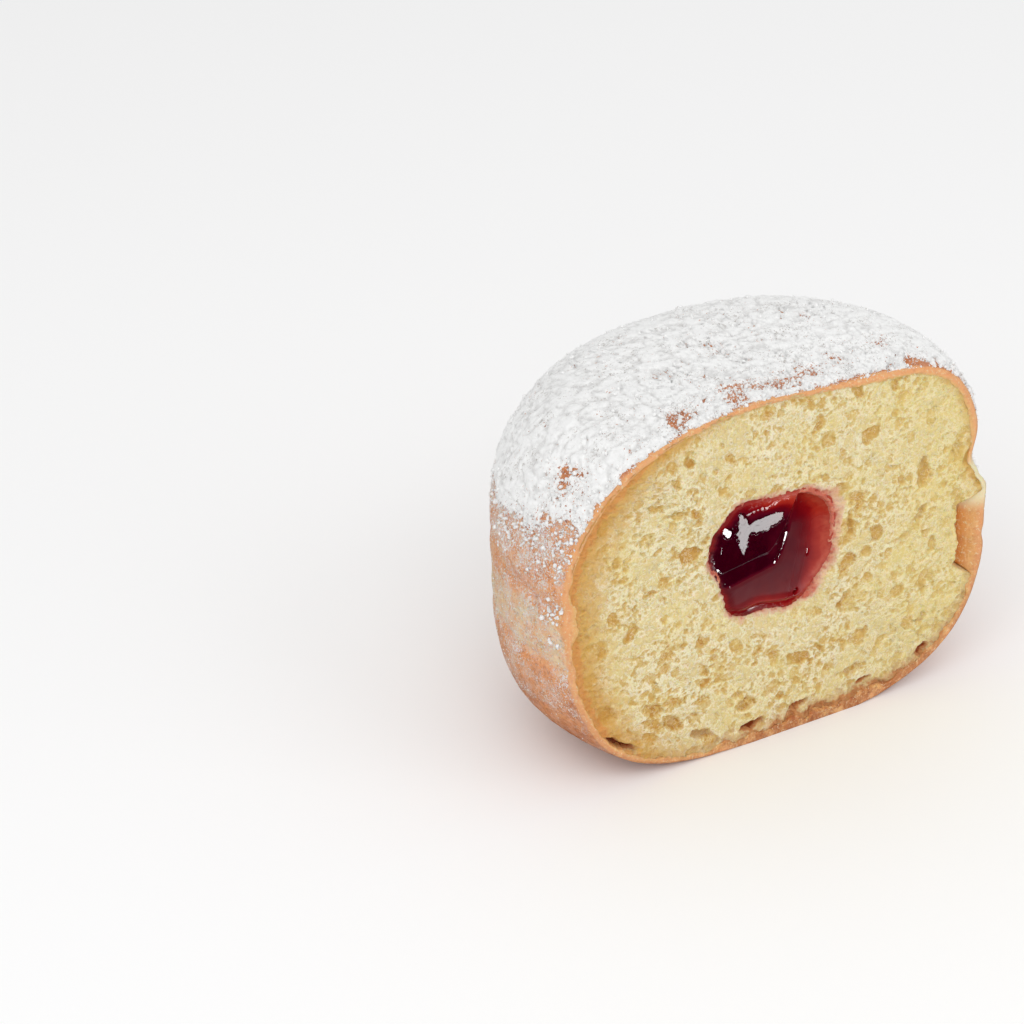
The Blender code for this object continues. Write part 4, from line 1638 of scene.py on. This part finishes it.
    def matte(self, at: Places) -> Array:
        """How dull the jelly is: most on the cut lobe, none in the hollow, on the facets or on the lip.

        Args:
            at: places on the jelly's front.

        Returns:
            Dullness for each place.
        """
        u, v = at.x, at.z
        above = self.above_fold(u, v)
        in_hollow = np.maximum(step(above, -0.2 * MM, 0.4 * MM), step(v, 3.0 * MM, 5.0 * MM))
        in_hollow *= step(at.inset, 0.5 * MM, 1.6 * MM)
        wet = bell(self.lip_line(u, v) + 1.0 * MM, 0.5 * MM)
        matte = (1.5 - 0.75 * self.sheen(u, v)) * (1.0 - in_hollow) * (1.0 - 0.9 * wet)
        matte = np.maximum(matte, bell(above - self.fold_width + 0.5 * MM, 0.12 * MM))
        bright = np.min([facet.outside(u, v) for facet in self.facets], axis=0)
        return matte * step(bright, 0.1 * MM, 0.3 * MM)

    def build(self) -> bpy.types.Object:
        """Make the jelly as one closed body that reaches just into the crumb round it.

        Returns:
            The piece.
        """
        draft = MeshDraft()
        shape, form = self.shape, self.shape.form
        middle = np.array([shape.x, 0.0, shape.z])
        share, angle = self.grid.places()
        outline = shape.outline(angle.ravel()) + self.overlap
        radius = outline * share.ravel()
        at = Places.within(outline, radius, angle.ravel())
        depth = self.front_depth(at)
        points = form.stand(around(radius, at.angle, form.cut + depth) + middle)
        front = draft.add(points, clear=self.clearness(at), matte=self.matte(at)).reshape(share.shape)
        draft.grid(front)
        turn = self.grid.border(angle)
        edge = shape.outline(turn)
        start = form.cut + np.max(self.grid.border(depth.reshape(share.shape)))
        end = form.cut + shape.depth
        walls = []
        for rise in self.back_rises:
            lift = math.radians(rise)
            wide = (edge + self.overlap * (1.0 - rise / 90.0)) * math.cos(lift)
            walls.append(form.stand(around(wide, turn, start + (end - start) * math.sin(lift)) + middle))
        tip = form.stand(np.array([[shape.x, end, shape.z]]))
        draft.close(self.grid.border(front), walls, tip, False, clear=0.5)
        return draft.piece("jelly_filling", JellyFinish().material())


@dataclass(frozen=True)
class SugarCover:
    """How thickly icing sugar lies on the crust, shared by the coat, the clumps and the grains.

    Attributes:
        form: the form that the sugar lies on.
        field: source of random numbers.
        edge_height: height above the belt where the coat ends, on average.
        edge_waver: how far that height wanders.
        edge_fade: height over which the coat goes from bare to thick.
        bare_rim: width of the bare band behind the cut.
        thin_spots: places where the coat is thin; the height is the share that is missing.
    """

    form: DoughForm
    field: RandomField = RandomField(59)
    edge_height: float = 14.0 * MM
    edge_waver: float = 3.0 * MM
    edge_fade: float = 7.0 * MM
    bare_rim: float = 0.8 * MM
    thin_spots: tuple[Swell, ...] = (
        Swell(-7.9, -4.5, 31.0, 3.6, 0.50), Swell(-2.5, -5.5, 31.0, 3.2, 0.50),
        Swell(3.0, -5.5, 31.0, 3.0, 0.50), Swell(9.0, -4.5, 31.3, 3.0, 0.45),
        Swell(-15.7, -5.0, 30.5, 2.8, 0.55), Swell(-28.3, -8.3, 26.6, 2.2, 0.60),
        Swell(-35.2, -1.0, 23.5, 3.6, 0.80), Swell(-38.3, -6.0, 17.1, 4.5, 0.80),
        Swell(-27.6, -0.8, 28.1, 1.4, 0.50), Swell(-24.4, 4.2, 29.2, 2.0, 0.40),
        Swell(-2.1, 8.0, 31.1, 3.2, 0.35), Swell(16.0, -1.5, 31.1, 3.0, 0.35),
        Swell(24.0, -1.5, 30.1, 3.0, 0.35), Swell(4.0, 24.0, 29.0, 4.0, 0.35),
        Swell(-26.0, 22.0, 22.0, 4.0, 0.40), Swell(28.0, 22.0, 20.0, 4.0, 0.40),
    )

    def amount(self, points: Array) -> Array:
        """Cover from about -1, bare, to 1, thick; 0 is the ragged edge of the coat.

        Args:
            points: places on the skin.

        Returns:
            The cover at each place.
        """
        behind = points[:, 1] - self.form.cut
        broad = self.field.layered(points, 14.0 * MM, 2)
        middle = self.field.layered(points + 0.2, 3.6 * MM, 3)
        fine = self.field.layered(points + 0.4, 0.9 * MM, 3, 0.7)
        edge = self.edge_height + self.edge_waver * broad
        cover = np.clip((points[:, 2] - edge) / self.edge_fade, -1.2, 0.6)
        bent = points + 3.5 * MM * np.stack([middle, broad, fine], axis=1)
        for spot in self.thin_spots:
            cover = cover - 0.8 * spot.offset(bent) * (1.0 + 1.5 * middle + 1.6 * fine)
        cover = cover - 0.32 * step(middle, -0.2, 0.3) * bell(behind - 2.0 * MM, 9.0 * MM)
        rim = self.bare_rim + 0.9 * MM * step(points[:, 0], 8.0 * MM, 18.0 * MM)
        rim = rim * np.maximum(1.0 + 1.3 * middle + 1.2 * fine + 0.5 * broad, 0.1)
        near_rim = 1.0 - step(behind, 0.5 * rim, 1.4 * rim)
        return cover + 0.34 * middle + 0.36 * fine - 1.8 * near_rim


@dataclass(frozen=True)
class SugarCoat:
    """The coat of icing sugar on the upper half, one thin shell that dips into the crust where it is bare.

    Attributes:
        form: the dough's form.
        cover: how thickly the sugar lies.
        crust: the crust that it lies on.
        grid: grid of the upper side.
        coarseness: how many cells of that grid one cell of the underside spans.
        front_edge: share at which the shell ends, just behind the cut.
        full: thickness of the coat, without its billows.
        buried: height of the shell where the crust is bare, below 0.
        buried_rows: rows along the shell's lower edge that are always bare.
        underside: how far the underside lies inside the crust.
    """

    form: DoughForm
    cover: SugarCover
    crust: Crust
    grid: DiscGrid = DiscGrid(440, 184, 0.08)
    coarseness: int = 4
    front_edge: float = 0.989
    full: float = 0.42 * MM
    buried: float = -0.35 * MM
    buried_rows: int = 2
    underside: float = 0.95 * MM

    def height(self, points: Array) -> tuple[Array, Array, Array]:
        """Height of the sugar over the skin, how thin it looks and how deep in a crease it is.

        The coat billows: its creases run where two random fields pass through nothing.

        Args:
            points: places on the skin.

        Returns:
            Height, negative where the skin is bare, thinness and crease, both from 0 to 1.
        """
        field = self.cover.field
        need = 0.66 - 0.32 * step(field.layered(points + 0.6, 8.0 * MM, 2), -0.25, 0.5)
        pits = step(field.layered(points + 0.8, 0.85 * MM, 2, 0.6), need, need + 0.25)
        cover = self.cover.amount(points) - 0.9 * pits
        thick = step(cover, -0.08, 0.45)
        large = np.minimum(np.abs(field.layered(points + 0.9, 2.4 * MM, 2)) * 3.0, 1.0)
        small = np.minimum(np.abs(field.value(points + 0.15, 0.95 * MM)) * 2.2, 1.0)
        billow = 0.30 * MM * large + 0.15 * MM * small
        height = self.buried + (self.full - self.buried) * thick**0.8 + (billow - 0.2 * MM) * thick
        # The crease value is what the sugar finish paints shade by.
        crease = np.clip(1.0 - 0.6 * large - 0.5 * small, 0.0, 1.0) * thick
        return height, np.clip(1.0 - cover / 0.8, 0.0, 1.0), crease

    def build(self) -> bpy.types.Object:
        """Make the coat as one closed shell with a coarser underside.

        Returns:
            The piece.
        """
        draft = MeshDraft()
        share, angle = self.grid.places()
        skin = self.crust.skin(share.ravel() * self.front_edge, angle.ravel())
        normal = self.form.normals(skin)
        height, thin, crease = self.height(skin)
        height[: self.buried_rows * share.shape[1]] = self.buried
        lifted = self.form.stand(skin + normal * height[:, None])
        top = draft.add(lifted, thin=thin, crease=crease).reshape(share.shape)
        draft.grid(top.T)
        every = self.coarseness
        below = (skin - normal * self.underside).reshape(*share.shape, 3)[::every, ::every]
        under = draft.add(self.form.stand(below.reshape(-1, 3))).reshape(below.shape[:2])
        draft.grid(under)
        fine, coarse = self.grid.border(top), self.grid.border(under)
        draft.join(fine, np.roll(fine, -1), np.repeat(coarse, every))
        draft.join(np.roll(fine[::every], -1), np.roll(coarse, -1), coarse)
        return draft.piece("sugar_coat", SugarFinish().material("sugar_coat"))


class GrainShape(Enum):
    """Base solids of loose sugar, by how often each face of an octahedron is split into four."""

    GRAIN = 0
    CLUMP = 1

    def solid(self) -> tuple[Array, Array]:
        """Corners on a unit sphere and triangles, faces outwards: 8 for a grain, 32 for a clump.

        Returns:
            The corners, and three corners' numbers for each triangle.
        """
        corners = [(1, 0, 0), (-1, 0, 0), (0, 1, 0), (0, -1, 0), (0, 0, 1), (0, 0, -1)]
        faces = [(0, 2, 4), (2, 1, 4), (1, 3, 4), (3, 0, 4), (2, 0, 5), (1, 2, 5), (3, 1, 5), (0, 3, 5)]
        points = [Vector(corner) for corner in corners]
        for _ in range(self.value):
            middles: dict[tuple[int, ...], int] = {}
            split = []
            for a, b, c in faces:
                ring = []
                for key in (tuple(sorted(side)) for side in ((a, b), (b, c), (c, a))):
                    if key not in middles:
                        middles[key] = len(points)
                        points.append((points[key[0]] + points[key[1]]).normalized())
                    ring.append(middles[key])
                d, e, f = ring
                split += [(a, d, f), (d, b, e), (f, e, c), (d, e, f)]
            faces = split
        return np.array([tuple(point) for point in points]), np.array(faces)


@dataclass(frozen=True)
class LooseSugar:
    """Many small lumps of sugar lying on the crust, joined into one mesh.

    Attributes:
        name: the piece's name.
        shape: base solid of each lump.
        tries: places tried; those that the chance keeps get a lump.
        smallest: least radius.
        largest: greatest radius; small ones are far more common.
        seed: seed of the random draws.
        most: greatest number of lumps.
        scatter: chance of a lump on the bare skin, away from the coat.
        foot: height above the table below which none lies.
    """

    name: str
    shape: GrainShape
    tries: int
    smallest: float
    largest: float
    seed: int
    most: int
    scatter: float
    foot: float = 3.0 * MM

    def chance(self, cover: SugarCover, points: Array) -> Array:
        """Chance that a lump lies at each place: most at the coat's ragged edge and behind the cut.

        Args:
            cover: how thickly the sugar lies.
            points: places on the skin.

        Returns:
            The chance at each place.
        """
        amount = cover.amount(points)
        height, behind = points[:, 2], points[:, 1] - cover.form.cut
        coat = (bell(amount + 0.1, 0.4) + 0.04 * step(amount, 0.0, 0.5)) * step(height, -3.0 * MM, 9.0 * MM)
        knots = step(cover.field.layered(points + 0.55, 2.6 * MM, 3), 0.02, 0.3)
        by_cut = knots * bell(behind - 1.5 * MM, 3.5 * MM) * step(height, -7.0 * MM, 2.0 * MM)
        bare = self.scatter * (0.4 + 0.6 * knots) * step(height, -26.0 * MM, 2.0 * MM)
        rim = 0.7 * (0.3 + 0.7 * knots) * bell(behind - 0.5 * MM, 0.7 * MM)
        rim *= step(height, 3.0 * MM, 12.0 * MM)
        return (coat + by_cut * (amount < 0.2) + bare + rim) * step(behind, 0.0, 0.4 * MM)

    def build(self, form: DoughForm, crust: Crust, coat: SugarCoat) -> bpy.types.Object:
        """Scatter the lumps and join them.

        Args:
            form: the dough's form.
            crust: the crust they lie on.
            coat: the coat they lie on where it is thick.

        Returns:
            The piece.
        """
        draw = np.random.default_rng(self.seed)
        share = np.sqrt(draw.uniform(0.0, 0.985, self.tries))
        angle = draw.uniform(-math.pi, math.pi, self.tries)
        plain = form.skin(share, angle)
        kept = draw.uniform(0.0, 1.0, self.tries) < self.chance(coat.cover, plain)
        kept &= plain[:, 2] + form.equator > self.foot
        kept = np.flatnonzero(kept)[: self.most]
        skin = crust.skin(share[kept], angle[kept])
        span = self.largest / self.smallest
        size = self.smallest * span ** (draw.uniform(0.0, 1.0, len(skin)) ** 2.2)
        lift = np.maximum(coat.height(skin)[0], 0.0) + 0.35 * size
        middle = skin + form.normals(skin) * lift[:, None]
        corners, faces = self.shape.solid()
        axes = np.linalg.qr(draw.normal(size=(len(skin), 3, 3)))[0]
        lumpy = 1.0 + 0.22 * draw.normal(size=(len(skin), len(corners))).clip(-1.6, 1.6)
        flatten = draw.uniform(0.6, 1.0, (len(skin), 3))
        local = corners[None] * lumpy[:, :, None] * flatten[:, None, :] * size[:, None, None]
        # Left-handed axes mirror the lump; their sign mirrors it back, so its faces look outwards.
        turned = local @ axes * np.sign(np.linalg.det(axes))[:, None, None]
        draft = MeshDraft()
        draft.add(form.stand((turned + middle[:, None, :]).reshape(-1, 3)), thin=0.0, crease=0.0)
        shift = np.arange(len(skin)) * len(corners)
        draft.join(*(faces[None] + shift[:, None, None]).reshape(-1, 3).T)
        return draft.piece(self.name, SugarFinish().material(self.name))


@dataclass(frozen=True)
class Softbox:
    """A large soft lamp, aimed at the doughnut.

    Attributes:
        name: its name.
        back: direction from the doughnut to the lamp.
        distance: how far away it stands.
        width: its width.
        height: its height.
        power: its power in watts.
        only_gloss: whether it shows only as a reflection, as a studio card does.
    """

    name: str
    back: tuple[float, float, float]
    distance: float
    width: float
    height: float
    power: float
    only_gloss: bool = False

    def build(self, target: Vector) -> None:
        """Place the lamp and aim it at the target.

        Args:
            target: where it is aimed.
        """
        data = bpy.data.lights.new(self.name, "AREA")
        data.shape = "RECTANGLE"
        data.size = self.width
        data.size_y = self.height
        data.energy = self.power
        lamp = bpy.data.objects.new(self.name, data)
        back = Vector(self.back).normalized()
        lamp.location = target + back * self.distance
        lamp.rotation_euler = back.to_track_quat("Z", "Y").to_euler()
        lamp.visible_camera = False
        lamp.visible_glossy = self.only_gloss
        if self.only_gloss:
            data.use_shadow = False
            lamp.visible_diffuse = False
        bpy.context.scene.collection.objects.link(lamp)


@dataclass(frozen=True)
class Studio:
    """Pale table, soft lamps, even surround and the camera.

    Attributes:
        form: the dough's form, at whose cut face everything is aimed.
        azimuth: the camera's turn to the left of the cut face's own direction.
        elevation: the camera's height over the level, as an angle.
        distance: distance from the camera to the middle of the cut face.
        lens: focal length in millimetres on a 36 mm sensor.
        sensor: width of the sensor in millimetres.
        aim_left: how far to the left of the middle the camera is aimed.
        aim_up: how far above the middle it is aimed.
        surround: strength of the even light from all round.
        table_rings: radii of the table's rings.
        table_corners: number of corners round the table.
        lamps: the lamps; those named cards show only as reflections in the jelly.
    """

    form: DoughForm
    azimuth: float = math.radians(-32.535)
    elevation: float = math.radians(31.408)
    distance: float = 574.0 * MM
    lens: float = 124.85
    sensor: float = 36.0
    aim_left: float = 44.05 * MM
    aim_up: float = 9.23 * MM
    surround: float = 0.78
    table_rings: tuple[float, ...] = (0.2, 0.6, 1.5, 4.0)
    table_corners: int = 128
    lamps: tuple[Softbox, ...] = (
        Softbox("key", (-0.41, -0.53, 0.74), 0.9, 0.9, 0.6, 2.36),
        Softbox("fill", (0.41, -0.71, 0.57), 1.0, 0.6, 0.6, 1.27),
        Softbox("flat_card", (0.459, -0.7195, -0.521), 0.5, 0.044, 0.044, 0.081, True),
        Softbox("streak_card", (0.619, -0.587, -0.521), 0.5, 0.042, 0.042, 0.21, True),
        Softbox("sheen_card", (0.459, -0.855, -0.2435), 0.6, 0.07, 0.09, 0.038, True),
        Softbox("spark_card", (0.175, -0.889, 0.422), 0.6, 0.04, 0.04, 0.13, True),
    )

    @property
    def target(self) -> Vector:
        """Middle of the cut face."""
        return Vector((0.0, self.form.cut, self.form.equator))

    def build(self) -> None:
        """Make the table, lamps, surround and camera."""
        self.build_table()
        for lamp in self.lamps:
            lamp.build(self.target)
        self.build_surround()
        self.build_camera()

    def build_table(self) -> None:
        """A round table far wider than the view, just under the resting plane."""
        draft = MeshDraft()
        turn = np.linspace(-math.pi, math.pi, self.table_corners + 1)[:-1]
        rings = [draft.add(around(radius, turn)[:, [0, 2, 1]]) for radius in self.table_rings]
        draft.fan(rings[0], draft.add(np.zeros(3))[0])
        for inner, outer in zip(rings, rings[1:]):
            draft.ring(outer, inner)
        table = draft.piece("table", FloorFinish().material())
        table.visible_glossy = False

    def build_surround(self) -> None:
        """An even pale surround that lights the shadows but isn't mirrored in the jelly."""
        world = bpy.data.worlds.new("surround")
        world.use_nodes = True
        background = world.node_tree.nodes["Background"]
        background.inputs["Color"].default_value = (1.0, 1.0, 1.0, 1.0)
        background.inputs["Strength"].default_value = self.surround
        world.cycles_visibility.glossy = False
        bpy.context.scene.world = world

    def build_camera(self) -> None:
        """A long lens from the front left and above, with the doughnut right of the middle."""
        scene = bpy.context.scene
        level = math.cos(self.elevation)
        sideways, ahead = math.sin(self.azimuth), math.cos(self.azimuth)
        back = Vector((sideways * level, -ahead * level, math.sin(self.elevation)))
        right = Vector((ahead, sideways, 0.0))
        upward = back.cross(right)
        eye = self.target + back * self.distance
        forward = (self.target - right * self.aim_left + upward * self.aim_up - eye).normalized()
        side = forward.cross(upward).normalized()
        axes = Matrix((side, side.cross(forward), -forward)).transposed()
        data = bpy.data.cameras.new("camera")
        data.lens = self.lens
        data.sensor_width = self.sensor
        camera = bpy.data.objects.new("camera", data)
        camera.matrix_world = Matrix.Translation(eye) @ axes.to_4x4()
        scene.collection.objects.link(camera)
        scene.camera = camera
        scene.view_settings.view_transform = "Standard"


def register(piece: bpy.types.Object, slot: str, *nodes: str) -> None:
    """Tie a piece to the frame: attach it to the root body and hide the nodes it stands for.

    Args:
        piece: the piece.
        slot: not used.
        nodes: names of the nodes.
    """
    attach(piece, "root")
    if nodes:
        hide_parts(*nodes)
    LOG.info("%s: %d points, %d faces", piece.name, len(piece.data.vertices), len(piece.data.polygons))


def main() -> None:
    """Build the pieces in order, then the studio."""
    logging.basicConfig(level=logging.INFO, format="%(message)s")
    low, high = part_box("dough")
    wide, tall = high.x - low.x, high.z - low.z
    form = DoughForm(mean_radius=0.4928 * wide, equator=0.4983 * tall, cut=low.y + 0.5 * MM)
    face = CutFace(form)
    shape = JellyShape(form)
    crust = Crust(form, face)
    register(crust.build(), "crust", "dough")
    register(Crumb(form, face, shape).build(), "crumb", "dough")
    register(Jelly(shape).build(), "jelly", "jelly")
    cover = SugarCover(form)
    coat = SugarCoat(form, cover, crust)
    register(coat.build(), "sugar")
    clumps = LooseSugar("sugar_clumps", GrainShape.CLUMP, 30000, 0.11 * MM, 0.48 * MM, 5, 6200, 0.01)
    register(clumps.build(form, crust, coat), "sugar")
    grains = LooseSugar("sugar_grains", GrainShape.GRAIN, 60000, 0.06 * MM, 0.15 * MM, 6, 24500, 0.5)
    register(grains.build(form, crust, coat), "sugar")
    Studio(form).build()


if __name__ == "__main__":
    main()
